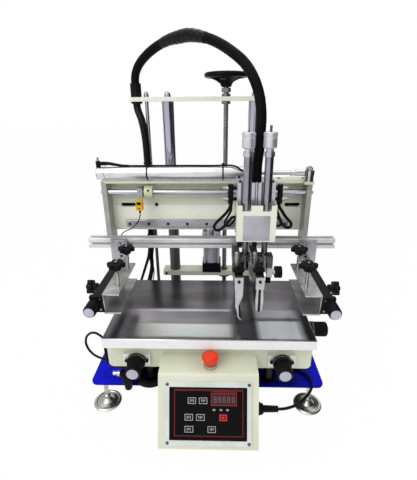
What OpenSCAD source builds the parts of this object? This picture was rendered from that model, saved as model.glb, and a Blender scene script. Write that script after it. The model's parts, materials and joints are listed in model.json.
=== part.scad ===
// Bench screen printing machine with a pneumatic print head, in millimetres.
// Origin on the floor under the middle of the machine: X to the right, Y to the back, Z up.
// Nothing below Z = 0; the screen clamps, print head and table are drawn in their parked places.

/* [Base] */
// Width of the blue base plate
base_w = 620; // [600:2:640]
// Height of the base plate's upper face above the floor
base_top = 92; // [88:1:96]
// Thickness of the base plate
base_t = 6; // [4:1:8]
// Diameter of a levelling foot
foot_d = 76; // [60:2:90]

/* [Table] */
// Width of the work table
table_w = 508; // [480:2:516]
// Depth of the work table
table_d = 295; // [260:5:300]
// Thickness of the work table
table_t = 26; // [20:1:30]
// Height of the table's working face
table_top = 268; // [264:1:270]

/* [Lift] */
// Diameter of a column
column_d = 36; // [32:1:40]
// Distance of each column from the middle
column_x = 131; // [128:1:136]
// Diameter of the lead screw
screw_d = 16; // [14:1:18]
// Outer diameter of the handwheel
wheel_d = 130; // [110:2:150]

/* [Head] */
// Outside half width of the beam
beam_half_w = 306; // [300:1:312]
// Half length of the slotted rail that carries the screen clamps
rail_half_l = 368; // [350:2:380]
// Place of the print head along the beam
head_x = 115; // [105:1:118]
// Distance of each lift rod from the middle of the print head
rod_dx = 24.5; // [23:0.5:26]

/* [Screen clamps] */
// Length of a clamp channel
channel_l = 170; // [150:5:180]
// Width of a clamp channel
channel_w = 40; // [36:1:44]
// Height of a clamp channel
channel_h = 52; // [46:1:56]

/* [Hidden] */
$fn = 64;

// Clearances: a shaft that turns or slides in a hole, and two flat faces that slide
run_gap = 0.05;
slide_gap = 0.3;

// Paints and finishes
cream = [0.87, 0.88, 0.76];
blue = [0.05, 0.06, 0.72];
chrome = [0.78, 0.79, 0.82];
steel = [0.55, 0.56, 0.58];
black = [0.08, 0.08, 0.09];
alloy = [0.80, 0.81, 0.83];
red = [0.85, 0.20, 0.10];

// Base
base_front = -177;
base_d = 480;
base_x = -8;
foot_dx = 280;
foot_front_y = -150;
foot_rear_y = 285;
stud_d = 12;
feet_at = [for (x = [-foot_dx, foot_dx], y = [foot_front_y, foot_rear_y]) [base_x + x, y]];
pillars_at = [for (x = [-158, 158], y = [-150, 40]) [x, y]];

// Bed and its slides
bed_x = 255;
bed_front = -187;
bed_rear = 65;
bed_bottom = 160;
bed_top = 240;
bed_wall = 8;
bed_floor = bed_bottom + 10;
way_neck = 60;
way_top = 76;
way_h = 16;
way_y = -60;
slide_top = 208;
front_knob_x = 180;
front_knob_z = 190;
side_knob_y = -109;
side_knob_z = 223.5;
knob_shaft_d = 10;

// Control box: flat top, then a front that leans back
box_half_w = 116;
box_top = 205;
box_bottom = 44;
box_break_y = -259;
box_front = -323;
face_l = norm([box_break_y - box_front, box_top - box_bottom]);
face_tilt = atan2(box_top - box_bottom, box_break_y - box_front);
bezel_w = 200;
bezel_h = 148;
bezel_t = 3;
window_w = 179;
window_h = 123;
bezel_up = 9;
estop_at = [4, -232];

// Columns, lead screw and lift
column_y = 233;
column_top = 792;
plate_t = 12;
stop_rod_x = -195;
stop_rod_d = 11;
screw_x = 45;
socket_x = -225;
wheel_z = 862;
lift_z = 217;
lift_t = 16;
nut_d = 28;
cap_side = 64;
lift_bore = 50;
lift_rod_d = 16;
lift_cap_z = 233;
lift_barrel_z = 266;
lift_head_z = 340;
lift_cap_top = 370;
foot_plate_z = 414;

// Beam
beam_x = -13;
beam_bottom = 414;
beam_top = 571;
flange_t = 8;
cheek_t = 15;
beam_front = 98;
beam_back = 155;
web_front = 143;
guide_y = 112;
guide_z = 543;
guide_d = 16;
rail_z = 438;
rail_h = 20;
rail_t = 17.5;
rail_half = 251;
rail_pitch = 60;
slot_side = 30;
slot_rail_y = 83;
slot_rail_z = 396;
rail_face = slot_rail_y - slot_side / 2;

// Air cylinder that drives the print head along the beam
stroke_y = 94;
stroke_z = 602;
stroke_od = 36;
stroke_bore = 32;
stroke_rod_d = 12;
stroke_left = -322;
stroke_right = 130;
pin_x = 278;

// Print head
rod_y = -72;
rod_d = 16;
tube_d = 20;
tube_top = 670;
ring_top = 681;
head_half_w = 46;
head_bottom = 470;
head_top = 606;
head_front = -58;
head_back = 20;
cover_front = -87;
cover_z = 464;
cover_top = 557;
cover_step = 542;
sheet_t = 2;
bar_front = -172;
bar_l = 200;
bar_z = 378;
bar_top = 408;
yoke_top = 424;
flood_x = 71;
squeegee_x = 120;

// Screen clamps: the outer face of each channel's web, and the parts beside it
left_web = -245;
right_web = 259;
channel_z = 326;
channel_front = -199;
channel_t = 3.5;
bar_gap = 9;
arm_w = 22;
arm_z = 342;
arm_h = 22;
arm_front = -178;
clamp_y = 60;
fine_x = 20;
fine_z = 353;
screw_inset = 27;
screw_ys = [-155, -59];

// Route of the big conduit from the top plate over to the print head
arch_rear = [
    [-225, 233, 842], [-225, 233, 852], [-221, 230, 869], [-208, 219, 889], [-184, 199, 908.5],
    [-151, 173.5, 926], [-112, 142.6, 938], [-80.4, 117.3, 939]
];
arch_front = [
    [-80, 117, 939], [-48, 91.8, 938.5], [-14, 64.5, 932], [19, 39, 917], [51, 13, 895],
    [80, -9, 869], [100, -26, 838], [113, -37, 803], [119.5, -42, 763], [120, -42.5, 722],
    [119, -41, 682], [116, -40, 646], [116, -40, 606]
];
conduit_d = 24;

// Route of the smaller conduit from under the top plate to the back of the bed
bundle_route = [
    [-225, 233, 786], [-225, 233, 777], [-221, 230, 762], [-212, 226, 742], [-204, 222, 710],
    [-201, 219, 670], [-200, 218, 610], [-201, 218, 540], [-203, 218, 470], [-205, 218, 400],
    [-206, 218, 340], [-211, 219, 296], [-221, 219, 260], [-233, 214, 222], [-240, 196, 195],
    [-240, 168, 184], [-235, 130, 186], [-229, 95, 193], [-228, 80, 194], [-228, 65, 194]
];
bundle_d = 16;

// Route of the thin air hose that loops out beside the table
loop_route = [
    [-255, -150, 205], [-261, -150, 205], [-272, -150, 213], [-284, -150, 227], [-299, -150, 235],
    [-314, -150, 229], [-323, -150, 211], [-322, -150, 190], [-313, -150, 171], [-299, -150, 158],
    [-282, -150, 151], [-266, -150, 149], [-247, -150, 149]
];
loop_d = 6;

// Routes of the hoses that hang from the valves at the sides of the print head
left_hose = [
    [53, -31, 548], [53, -31, 541], [46, -26, 524], [34, -20, 507], [22, -14, 493],
    [12, -10, 482], [11, -10, 474], [19, -13, 472], [31, -20, 479], [42, -30, 492],
    [52, -41, 507], [60, -45, 515], [67, -45, 515]
];
right_hose = [
    [177, -31, 548], [177, -31, 541], [186, -26, 526], [196, -20, 511], [207, -14, 498],
    [215, -10, 488], [216, -10, 480], [208, -13, 476], [197, -20, 482], [187, -30, 494],
    [179, -41, 508], [170, -45, 515], [163, -45, 515]
];
hose_d = 8;

// Route of the thin hose tied along the top of the long cylinder
top_hose = [
    [-296, 94, 629], [-288, 94, 629], [-272, 93.5, 626.5], [-252, 93, 623.6], [-230, 93, 622.8],
    [-150, 93, 622.8], [-60, 93, 622.8], [20, 93, 622.8], [48, 91, 624], [70, 83, 622],
    [84, 75, 615], [93, 70, 612], [102, 70, 612]
];
top_hose_d = 5;

// Route of the mains lead: out of its plug, over the edge of the base plate, under the bed
lead_route = [
    [165, -250, 92], [178, -250, 92], [197, -246, 92.5], [216, -238, 93.5], [234, -225, 95],
    [250, -210, 97], [262, -194, 99], [268, -178, 99], [269, -163, 98.5], [264, -146, 98],
    [250, -128, 96.3], [228, -113, 95.6], [200, -105, 95.6], [140, -98, 95.6], [60, -96, 95.6],
    [-20, -97, 95.6], [-80, -100, 95.6], [-125, -104.2, 95.6], [-150, -104.2, 95.6]
];
lead_d = 7;
coil_at = [-158, -150];
coil_r = 35;
plug_y = -250;
plug_z = 92;

module block(low, high) {
    translate(low) cube(high - low);
}

module rod(d, from, to) {
    translate([0, 0, from]) cylinder(d = d, h = to - from);
}

module ring(od, id, h) {
    difference() {
        cylinder(d = od, h = h);
        translate([0, 0, -1]) cylinder(d = id, h = h + 2);
    }
}

// Hexagon with its size given across the flats
module hexagon(across, h) {
    cylinder(d = across / cos(30), h = h, $fn = 6);
}

module along_x() {
    rotate([0, 90, 0]) children();
}

module along_y() {
    rotate([-90, 0, 0]) children();
}

// Flat shape with rounded corners, from its low corner to its high one
module rounded_rect(low, high, r) {
    size = high - low;
    translate(low) {
        translate([r, 0]) square([size.x - 2 * r, size.y]);
        translate([0, r]) square([size.x, size.y - 2 * r]);
        for (x = [r, size.x - r], y = [r, size.y - r]) translate([x, y]) circle(r);
    }
}

// Grip with rounded lobes, and the hub below it
module star_grip(d, h, lobes, hub_d, hub_h) {
    lobe_r = d * 0.17;
    linear_extrude(h) {
        circle(d = d * 0.68);
        for (i = [0 : lobes - 1]) rotate(i * 360 / lobes) translate([d / 2 - lobe_r, 0]) circle(lobe_r);
    }
    translate([0, 0, -hub_h]) cylinder(d = hub_d, h = hub_h);
}

// Points on a smooth line through the given points, with the given steps in each stretch
function curve_point(a, b, c, d, t) =
    0.5 * (2 * b + (c - a) * t + (2 * a - 5 * b + 4 * c - d) * t * t + (3 * b - a - 3 * c + d) * t * t * t);
function smooth_line(p, steps) = [
    for (i = [0 : len(p) - 2], s = [0 : steps - 1])
        curve_point(p[max(i - 1, 0)], p[i], p[i + 1], p[min(i + 2, len(p) - 1)], s / steps),
    p[len(p) - 1]
];
function unit(v) = v / norm(v);
function direction(p, i) = unit(p[min(i + 1, len(p) - 1)] - p[max(i - 1, 0)]);
function square_to(v, t) = unit(v - (v * t) * t);

// Round tube swept along a route
module hose(route, d, steps, sides) {
    p = smooth_line(route, steps);
    last = len(p) - 1;
    first_side = square_to(abs(direction(p, 0).z) > 0.8 ? [1, 0, 0] : [0, 0, 1], direction(p, 0));
    side = [
        for (i = 0, n = first_side; i <= last;
            n = square_to(n, direction(p, min(i + 1, last))), i = i + 1) n
    ];
    points = [
        for (i = [0 : last], k = [0 : sides - 1])
            let (turn = 360 * k / sides, across = cross(direction(p, i), side[i]))
                p[i] + d / 2 * (cos(turn) * side[i] + sin(turn) * across)
    ];
    walls = [
        for (i = [0 : last - 1], k = [0 : sides - 1])
            let (next = (k + 1) % sides)
                [i * sides + k, (i + 1) * sides + k, (i + 1) * sides + next, i * sides + next]
    ];
    ends = [[for (k = [0 : sides - 1]) k], [for (k = [sides - 1 : -1 : 0]) last * sides + k]];
    polyhedron(points, concat(walls, ends));
}

module base_plate() {
    color(blue) translate([0, 0, base_top - base_t]) linear_extrude(base_t) difference() {
        rounded_rect([base_x - base_w / 2, base_front], [base_x + base_w / 2, base_front + base_d], 18);
        for (p = feet_at) translate(p) circle(d = stud_d + 1);
        for (p = pillars_at) translate(p) circle(d = 9);
    }
}

// Each foot is a turned pad with its stud, and a locknut under the plate
module levelling_feet() {
    nut_z = base_top - base_t - 10;
    color(chrome) for (p = feet_at) translate([p.x, p.y, 0]) {
        rotate_extrude() polygon([
            [0, 0], [foot_d / 2 - 2, 0], [foot_d / 2, 2], [foot_d / 2, 5], [foot_d / 2 - 3, 7.5],
            [foot_d / 2 - 7, 7.5], [foot_d / 2 - 9, 6], [25, 7], [18, 10], [13, 15], [10, 18],
            [8.5, 20], [8.5, 27], [stud_d / 2, 29], [stud_d / 2, base_top + 1], [0, base_top + 1]
        ]);
        translate([0, 0, nut_z]) difference() {
            hexagon(19, 10);
            translate([0, 0, -1]) cylinder(d = stud_d + 2 * run_gap, h = 12);
        }
    }
}

// Dovetail seen along its length, standing on the line y = 0
module dovetail(grow) {
    polygon([
        [-way_neck / 2 - grow, -grow], [way_neck / 2 + grow, -grow],
        [way_top / 2 + grow, way_h + grow], [-way_top / 2 - grow, way_h + grow]
    ]);
}

module bed_housing() {
    lower_r = 12;
    color(cream) {
        difference() {
            translate([0, bed_rear, 0]) rotate([90, 0, 0]) linear_extrude(bed_rear - bed_front) {
                translate([-bed_x, bed_bottom + lower_r])
                    square([2 * bed_x, bed_top - bed_bottom - lower_r]);
                translate([-bed_x + lower_r, bed_bottom]) square([2 * (bed_x - lower_r), lower_r]);
                for (x = [-1, 1]) translate([x * (bed_x - lower_r), bed_bottom + lower_r]) circle(lower_r);
            }
            block(
                [-bed_x + bed_wall, bed_front + bed_wall, bed_floor],
                [bed_x - bed_wall, bed_rear - bed_wall, bed_top + 1]
            );
            for (x = [-front_knob_x, front_knob_x]) translate([x, bed_front - 1, front_knob_z])
                along_y() cylinder(d = knob_shaft_d + 1, h = bed_wall + 2);
            translate([bed_x - bed_wall - 1, side_knob_y, side_knob_z])
                along_x() cylinder(d = knob_shaft_d + 1, h = bed_wall + 2);
        }
        translate([-180, way_y, bed_floor]) rotate([90, 0, 90]) linear_extrude(360) dovetail(0);
    }
}

// Hexagonal spacers between the base plate and the bed, and the air fitting under the bed's left side
module bed_pillars() {
    color(chrome) {
        for (p = pillars_at) translate([p.x, p.y, base_top]) {
            cylinder(d = 34, h = 4);
            translate([0, 0, 4]) hexagon(24, bed_bottom - base_top - 8);
            translate([0, 0, bed_bottom - base_top - 4]) cylinder(d = 34, h = 4);
        }
        translate([-235, -150, 0]) {
            rod(15, 140, bed_bottom);
            translate([0, 0, 149]) rotate([0, -90, 0]) cylinder(d = 10, h = 12);
        }
    }
}

// Middle slide: a groove over the bed's way below, and the way for the table on top
module cross_slide() {
    low = bed_floor + slide_gap;
    color(steel) {
        difference() {
            block([-110, way_y - 80, low], [110, way_y + 80, slide_top]);
            translate([-111, way_y, bed_floor]) rotate([90, 0, 90]) linear_extrude(222) dovetail(slide_gap);
        }
        translate([0, way_y + 90, slide_top]) rotate([90, 0, 0]) linear_extrude(180) dovetail(0);
    }
}

module work_table() {
    front = -217.5;
    edge = 1.5;
    low = table_top - table_t;
    color(steel) {
        intersection() {
            translate([0, front + table_d, 0]) rotate([90, 0, 0]) linear_extrude(table_d) polygon([
                [-table_w / 2, low], [table_w / 2, low], [table_w / 2, table_top - edge],
                [table_w / 2 - edge, table_top], [-table_w / 2 + edge, table_top],
                [-table_w / 2, table_top - edge]
            ]);
            translate([-table_w / 2 - 1, 0, 0]) rotate([90, 0, 90]) linear_extrude(table_w + 2) polygon([
                [front, low], [front + table_d, low], [front + table_d, table_top - edge],
                [front + table_d - edge, table_top], [front + edge, table_top], [front, table_top - edge]
            ]);
        }
        difference() {
            block([-100, way_y - 60, slide_top + slide_gap], [100, way_y + 60, low]);
            translate([0, way_y + 61, slide_top]) rotate([90, 0, 0]) linear_extrude(122) dovetail(slide_gap);
        }
    }
}

module knob_bearings() {
    bore = knob_shaft_d + 2 * run_gap;
    color(alloy) {
        for (x = [-front_knob_x, front_knob_x]) difference() {
            block([x - 33.5, bed_front - 10, 174], [x + 33.5, bed_front, 208]);
            translate([x, bed_front - 11, front_knob_z]) along_y() cylinder(d = bore, h = 12);
        }
        difference() {
            block([bed_x, side_knob_y - 24, 207], [bed_x + 10, side_knob_y + 24, 239]);
            translate([bed_x - 1, side_knob_y, side_knob_z]) along_x() cylinder(d = bore, h = 12);
        }
    }
}

// Graduated ring at the root, straight grip, inset end cap and the shaft behind
module adjusting_knob(grip_l, ring_d, shaft_l) {
    ring_l = 13;
    color(black) rotate_extrude() polygon([
        [0, -shaft_l], [knob_shaft_d / 2, -shaft_l], [knob_shaft_d / 2, 0], [ring_d / 2 - 1, 0],
        [ring_d / 2, 1], [ring_d / 2, ring_l - 1], [19, ring_l + 1], [19, grip_l - 2],
        [17, grip_l], [14, grip_l], [14, grip_l + 1.5], [0, grip_l + 1.5]
    ]);
}

module front_knob(x) {
    translate([x, bed_front - 10 - slide_gap, front_knob_z]) rotate([90, 0, 0]) adjusting_knob(49, 46, 36);
}

module front_knob_left() {
    front_knob(-front_knob_x);
}

module front_knob_right() {
    front_knob(front_knob_x);
}

module side_knob() {
    translate([bed_x + 10 + slide_gap, side_knob_y, side_knob_z]) along_x() adjusting_knob(45, 40, 30);
}

// Places its children on the leaning front: X across, Y up the face, Z straight out of it
module on_face() {
    translate([0, box_front, box_bottom]) rotate([face_tilt, 0, 0]) children();
}

// Solid with the control box's profile, its faces moved inwards by the given wall
module box_slab(wall, half_w, front) {
    bend_r = 8 - wall;
    bend_steps = 6;
    centre = [box_break_y + 8 * tan(face_tilt / 2), box_top - 8];
    translate([-half_w, 0, 0]) rotate([90, 0, 90]) linear_extrude(2 * half_w) polygon(concat(
        [[bed_front + (wall > 0 ? 1 : 0), box_top - wall]],
        [for (i = [0 : bend_steps]) let (a = 90 + face_tilt * i / bend_steps)
            centre + bend_r * [cos(a), sin(a)]],
        [[front + wall / tan(face_tilt), box_bottom + wall], [box_front + 60, box_bottom + wall],
            [bed_front + (wall > 0 ? 1 : 0), box_bottom + 26 + wall]]
    ));
}

// Folded sheet box, open where it stands against the bed, with a recess for the mains inlet
module control_box() {
    wall = 2;
    color(cream) difference() {
        union() {
            difference() {
                box_slab(0, box_half_w, box_front);
                box_slab(wall, box_half_w - wall, box_front + wall / sin(face_tilt));
            }
            block([box_half_w - 14, plug_y - 16, plug_z - 12], [box_half_w, plug_y + 16, plug_z + 12]);
        }
        block([box_half_w - 12, plug_y - 14, plug_z - 10], [box_half_w + 1, plug_y + 14, plug_z + 10]);
    }
}

module panel_bezel() {
    color(alloy) on_face() translate([0, bezel_up, 0]) linear_extrude(bezel_t) difference() {
        rounded_rect([-bezel_w / 2, 0], [bezel_w / 2, bezel_h], 3);
        translate([-window_w / 2, (bezel_h - window_h) / 2]) square([window_w, window_h]);
    }
}

module keypad() {
    color(black) on_face() translate([-window_w / 2, bezel_up + (bezel_h - window_h) / 2, 0])
        cube([window_w, window_h, 1.5]);
}

module estop_collar() {
    color(alloy) translate([estop_at.x, estop_at.y, box_top]) ring(32, 18 + 2 * run_gap, 8);
}

module estop_button() {
    color(red) translate([estop_at.x, estop_at.y, box_top]) rotate_extrude() polygon([
        [0, 5], [9, 5], [9, 12.5], [15, 13], [16, 14.5], [19.6, 24.5], [20, 28], [19.3, 30.8], [17, 33],
        [12, 34.6], [6, 35.5], [0, 35.5]
    ]);
}

// Two clamped columns with their top nuts, and the thin stop rod to their left
module columns() {
    nut_z = column_top + plate_t;
    color(chrome) {
        for (x = [-column_x, column_x]) translate([x, column_y, 0]) {
            rod(column_d, base_top, column_top);
            rod(10, column_top, nut_z + 11);
        }
        translate([stop_rod_x, column_y, 0]) {
            rod(stop_rod_d, base_top, column_top);
            rod(8, column_top, nut_z + 9);
        }
        for (x = [-column_x, column_x, stop_rod_x]) translate([x, column_y, nut_z]) difference() {
            hexagon(x == stop_rod_x ? 13 : 17, 7);
            translate([0, 0, -1]) cylinder(d = (x == stop_rod_x ? 8 : 10) + 2 * run_gap, h = 9);
        }
    }
}

module column_base() {
    color(cream) difference() {
        block([-165, column_y - 30, base_top], [165, column_y + 30, base_top + 48]);
        for (x = [-column_x, column_x]) translate([x, column_y, base_top - 1])
            cylinder(d = column_d + 2 * run_gap, h = 50);
        translate([screw_x, column_y, base_top + 28]) cylinder(d = screw_d + 2 * run_gap, h = 21);
        for (x = [-80, 0, 80]) translate([x, column_y, base_top + 34]) cylinder(d = 18, h = 15);
    }
}

module top_plate() {
    color(cream) translate([0, 0, column_top]) linear_extrude(plate_t) difference() {
        union() {
            rounded_rect([-207, column_y - 35], [160, column_y + 35], 8);
            rounded_rect([-243, column_y - 20], [-190, column_y + 20], 5);
        }
        translate([screw_x, column_y]) circle(d = screw_d + 2 * run_gap);
        translate([socket_x, column_y]) circle(d = 20 + 2 * run_gap);
        for (x = [-column_x, column_x]) translate([x, column_y]) circle(d = 10 + 2 * run_gap);
        translate([stop_rod_x, column_y]) circle(d = 8 + 2 * run_gap);
    }
}

// Cast wheel: hub below the rim, three curved arms that rise to it
module handwheel() {
    rim_r = 7.5;
    rim_at = wheel_d / 2 - rim_r;
    hub_low = wheel_z - 32;
    arm = [
        [12, hub_low + 6], [19, hub_low + 10], [30, wheel_z - 15], [rim_at - 3, wheel_z - 5],
        [rim_at - 3, wheel_z + 4], [28, wheel_z - 5], [17, hub_low + 20], [12, hub_low + 20]
    ];
    color(black) translate([screw_x, column_y, 0]) {
        rotate_extrude() translate([rim_at, wheel_z]) circle(rim_r);
        difference() {
            rotate_extrude() polygon([
                [0, hub_low], [14, hub_low], [16, hub_low + 4], [20, hub_low + 12], [20, hub_low + 18],
                [14, hub_low + 24], [0, hub_low + 24]
            ]);
            translate([0, 0, hub_low - 1]) cylinder(d = screw_d + 2 * run_gap, h = 20);
        }
        for (i = [0 : 2]) rotate(30 + i * 120) rotate_extrude(angle = 46) polygon(arm);
    }
}

// Screw with the collars that hold it in the top plate, and the nut under the wheel
module lead_screw() {
    above = column_top + plate_t;
    color(steel) translate([screw_x, column_y, 0]) {
        rod(screw_d, base_top + 29, wheel_z - 14);
        rod(27, column_top - 9, column_top - slide_gap);
        rod(27, above + slide_gap, above + 8);
        translate([0, 0, above + 12]) hexagon(24, 12);
    }
}

module lift_plate() {
    low = lift_z - 1;
    color(cream) difference() {
        translate([0, 0, lift_z]) linear_extrude(lift_t)
            rounded_rect([-172, column_y - 25], [172, column_y + 25], 6);
        for (x = [-column_x, column_x]) translate([x, column_y, low])
            cylinder(d = column_d + 2 * run_gap, h = lift_t + 2);
        translate([screw_x, column_y, low]) cylinder(d = nut_d, h = lift_t + 2);
    }
}

module lead_nut() {
    color([0.75, 0.60, 0.30]) translate([screw_x, column_y, lift_z]) difference() {
        union() {
            cylinder(d = nut_d - 0.1, h = lift_t);
            translate([0, 0, -8]) cylinder(d = 44, h = 8);
        }
        translate([0, 0, -9]) cylinder(d = screw_d + 2 * run_gap, h = lift_t + 17);
    }
}

// Tie-rod air cylinder: square end blocks, thin barrel between them
module lift_cylinder() {
    half = cap_side / 2;
    color(alloy) translate([0, column_y, 0]) {
        difference() {
            union() {
                block([-half, -half, lift_cap_z], [half, half, lift_barrel_z]);
                rod(54, lift_barrel_z, lift_head_z);
                block([-half, -half, lift_head_z], [half, half, lift_cap_top]);
            }
            rod(lift_bore, lift_barrel_z, lift_head_z);
            rod(lift_rod_d + 2 * run_gap, lift_head_z - 1, lift_cap_top + 1);
            for (x = [-24, 24], y = [-24, 24]) translate([x, y, lift_barrel_z - 10]) cylinder(d = 8, h = 130);
        }
        for (x = [-24, 24], y = [-24, 24]) translate([x, y, 0]) {
            rod(7.9, lift_barrel_z - 10, lift_cap_top);
            translate([0, 0, lift_cap_top]) hexagon(13, 6);
        }
    }
}

module lift_rod() {
    color(chrome) translate([0, column_y, 0]) {
        rod(lift_bore - 2 * run_gap, lift_barrel_z + 3, lift_barrel_z + 15);
        rod(lift_rod_d, lift_barrel_z + 15, foot_plate_z);
    }
}

// Casting behind the beam: two long bores on the columns, webs, and the foot over the lift rod
module slide_block() {
    color(cream) difference() {
        union() {
            block([-165, beam_back, beam_bottom + 10], [165, beam_back + 16, beam_top - 8]);
            for (x = [-column_x, column_x]) {
                translate([x, column_y, 0]) rod(62, 430, 548);
                block([x - 12, beam_back + 16, 440], [x + 12, column_y - 10, 538]);
            }
            block([-30, beam_back, foot_plate_z], [30, column_y + 30, foot_plate_z + 16]);
            for (x = [-30, 22]) translate([x, 0, 0]) rotate([90, 0, 90]) linear_extrude(8) polygon([
                [beam_back + 16, foot_plate_z + 16], [column_y + 28, foot_plate_z + 16],
                [beam_back + 16, foot_plate_z + 80]
            ]);
        }
        for (x = [-column_x, column_x]) translate([x, column_y, 0]) rod(column_d + 2 * run_gap, 429, 549);
    }
}

// Slot with round ends through the web, centred on the given place
module web_slot(x, z, l, h) {
    translate([x, beam_back + 1, z]) rotate([90, 0, 0]) linear_extrude(20) {
        square([l - h, h], center = true);
        for (s = [-1, 1]) translate([s * (l - h) / 2, 0]) circle(d = h);
    }
}

// Welded channel that faces forward: web, top flange and two end cheeks
module beam_frame() {
    inside = beam_half_w - cheek_t;
    color(cream) translate([beam_x, 0, 0]) difference() {
        union() {
            block([-inside, web_front, beam_bottom], [inside, beam_back, beam_top]);
            for (x = [-beam_half_w, inside]) block(
                [x, beam_front, slot_rail_z - slot_side / 2 + 2], [x + cheek_t, beam_back, beam_top]
            );
            block([-beam_half_w, beam_front, beam_top], [beam_half_w, beam_back, beam_top + flange_t]);
        }
        web_slot(-243, 495, 47, 12);
        web_slot(262, 495, 47, 12);
        web_slot(-156, 495, 12.01, 12);
        for (x = [-beam_half_w - 1, inside - 1]) translate([x, guide_y, guide_z])
            along_x() cylinder(d = 8.4, h = cheek_t + 2);
    }
}

module guide_rod() {
    inside = beam_half_w - cheek_t;
    color(chrome) translate([beam_x, guide_y, guide_z]) {
        translate([-inside, 0, 0]) along_x() cylinder(d = guide_d, h = 2 * inside);
        translate([-beam_half_w - 6, 0, 0]) along_x() cylinder(d = 8, h = 2 * beam_half_w + 12);
        for (x = [-beam_half_w - 6, beam_half_w]) translate([x, 0, 0]) along_x() hexagon(13, 6);
    }
}

// Profile rail with a waist for the ball tracks, and counterbored screw holes
module linear_rail() {
    half = rail_h / 2;
    color(chrome) difference() {
        translate([beam_x - rail_half, web_front, rail_z]) rotate([90, 0, 90]) linear_extrude(2 * rail_half) polygon([
            [0, -half], [0, half], [-7, half], [-9, half - 2.2], [-12, half - 2.2], [-13.5, half],
            [-rail_t + 1, half], [-rail_t, half - 1], [-rail_t, 1 - half], [-rail_t + 1, -half],
            [-13.5, -half], [-12, 2.2 - half], [-9, 2.2 - half], [-7, -half]
        ]);
        for (x = [-240 : rail_pitch : 240]) translate([beam_x + x, web_front - rail_t - 1, rail_z]) along_y() {
            cylinder(d = 6, h = rail_t + 2);
            cylinder(d = 9.5, h = 9.5);
        }
    }
}

// Square aluminium section with a T-slot in each side and a bore down the middle
module slot_section() {
    half = slot_side / 2;
    difference() {
        rounded_rect([-half, -half], [half, half], 1.5);
        for (a = [0 : 90 : 270]) rotate(a) {
            translate([half - 4, -4]) square([5, 8]);
            polygon([
                [half - 2.5, -8], [half - 2.5, 8], [half - 5.5, 8], [half - 9, 4.5], [half - 9, -4.5],
                [half - 5.5, -8]
            ]);
        }
        circle(d = 7);
    }
}

module clamp_rail() {
    color(alloy) translate([-rail_half_l, slot_rail_y, slot_rail_z]) rotate([90, 0, 90])
        linear_extrude(2 * rail_half_l) slot_section();
}

// Stop collar on the guide rod, then the clip and the sensor that it carries
module end_stop() {
    color(cream) translate([-194, guide_y, guide_z]) along_x() ring(40, guide_d + 2 * run_gap, 24);
    color(alloy) difference() {
        union() {
            block([-215, guide_y - 14, guide_z - 14], [-199, guide_y + 14, guide_z + 14]);
            block([-215, guide_y - 19, guide_z - 24], [-199, guide_y - 14, guide_z + 14]);
        }
        translate([-216, guide_y, guide_z]) along_x() cylinder(d = guide_d + 2 * run_gap, h = 18);
    }
    color([0.95, 0.75, 0.10])
        block([-217, guide_y - 37, guide_z - 47], [-198, guide_y - 19, guide_z - 16]);
}

// Piston, rod and eye of the long cylinder, and the post that pins it to the beam
module stroke_rod() {
    flange_top = beam_top + flange_t;
    color(chrome) {
        translate([0, stroke_y, stroke_z]) {
            translate([-250, 0, 0]) along_x() cylinder(d = stroke_bore - 2 * run_gap, h = 14);
            translate([-236, 0, 0]) along_x() cylinder(d = stroke_rod_d, h = pin_x + 236 - 20);
            translate([pin_x - 52, 0, 0]) along_x() hexagon(17, 8);
            difference() {
                union() {
                    translate([pin_x - 40, 0, 0]) along_x() cylinder(d = 19, h = 26);
                    translate([pin_x, 0, -7]) cylinder(d = 28, h = 14);
                }
                translate([pin_x, 0, -20]) cylinder(d = 10 + 2 * run_gap, h = 40);
            }
        }
        translate([pin_x, stroke_y, 0]) {
            rod(26, flange_top, stroke_z - 7.3);
            rod(10, flange_top, stroke_z + 18);
            translate([0, 0, stroke_z + 8]) hexagon(17, 7);
        }
    }
    color(cream) block([pin_x - 14, stroke_y - 14, flange_top - 8], [pin_x + 14, beam_front, flange_top]);
}

// Carriage: block on the rail, bushing on the guide rod, arm forward over the slotted rail
module saddle() {
    half = 35;
    track = rail_h / 2 + slide_gap;
    color(alloy) difference() {
        union() {
            block([head_x - 42, 101, 426], [head_x + 42, 113, 563]);
            block([head_x - half, 98, 523], [head_x + half, 126, 563]);
            block([head_x - 38, 113, rail_z - 22], [head_x + 38, web_front - 4, rail_z + 22]);
            for (x = [head_x - half, head_x + half - 10]) block([x, head_back, 480], [x + 10, 101, 563]);
            block([head_x - half, head_back, 470], [head_x + half, head_back + 10, 563]);
            block([head_x - 13, head_back, 540], [head_x + 15, 46, stroke_z + 22]);
            block([head_x - 13, 46, stroke_z - 20], [head_x + 15, stroke_y, stroke_z + 22]);
            translate([head_x - 13, stroke_y, stroke_z + 1]) along_x() cylinder(r = 21, h = 28);
        }
        translate([head_x - 50, guide_y, guide_z]) along_x() cylinder(d = guide_d + 2 * run_gap, h = 100);
        translate([head_x - 50, 0, 0]) block(
            [0, web_front - rail_t - slide_gap, rail_z - track], [100, web_front, rail_z + track]
        );
        translate([head_x - 30, stroke_y, stroke_z]) along_x() cylinder(d = stroke_od, h = 60);
    }
}

// Barrel of the long cylinder with its two end plugs and the air elbow
module stroke_cylinder() {
    plug_l = 22;
    color(alloy) {
        translate([0, stroke_y, stroke_z]) difference() {
            translate([stroke_left, 0, 0]) along_x() cylinder(d = stroke_od - 0.1, h = stroke_right - stroke_left);
            translate([stroke_left + plug_l, 0, 0]) along_x()
                cylinder(d = stroke_bore, h = stroke_right - stroke_left - 2 * plug_l);
            along_x() cylinder(d = stroke_rod_d + 2 * run_gap, h = stroke_right + 1);
        }
        translate([-318, stroke_y, stroke_z + 15]) cylinder(d = 13, h = 19);
        translate([-318, stroke_y, stroke_z + 34]) cylinder(d = 6, h = 10);
        translate([-318, stroke_y, stroke_z + 27]) along_x() cylinder(d = 11, h = 22);
    }
}

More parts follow.
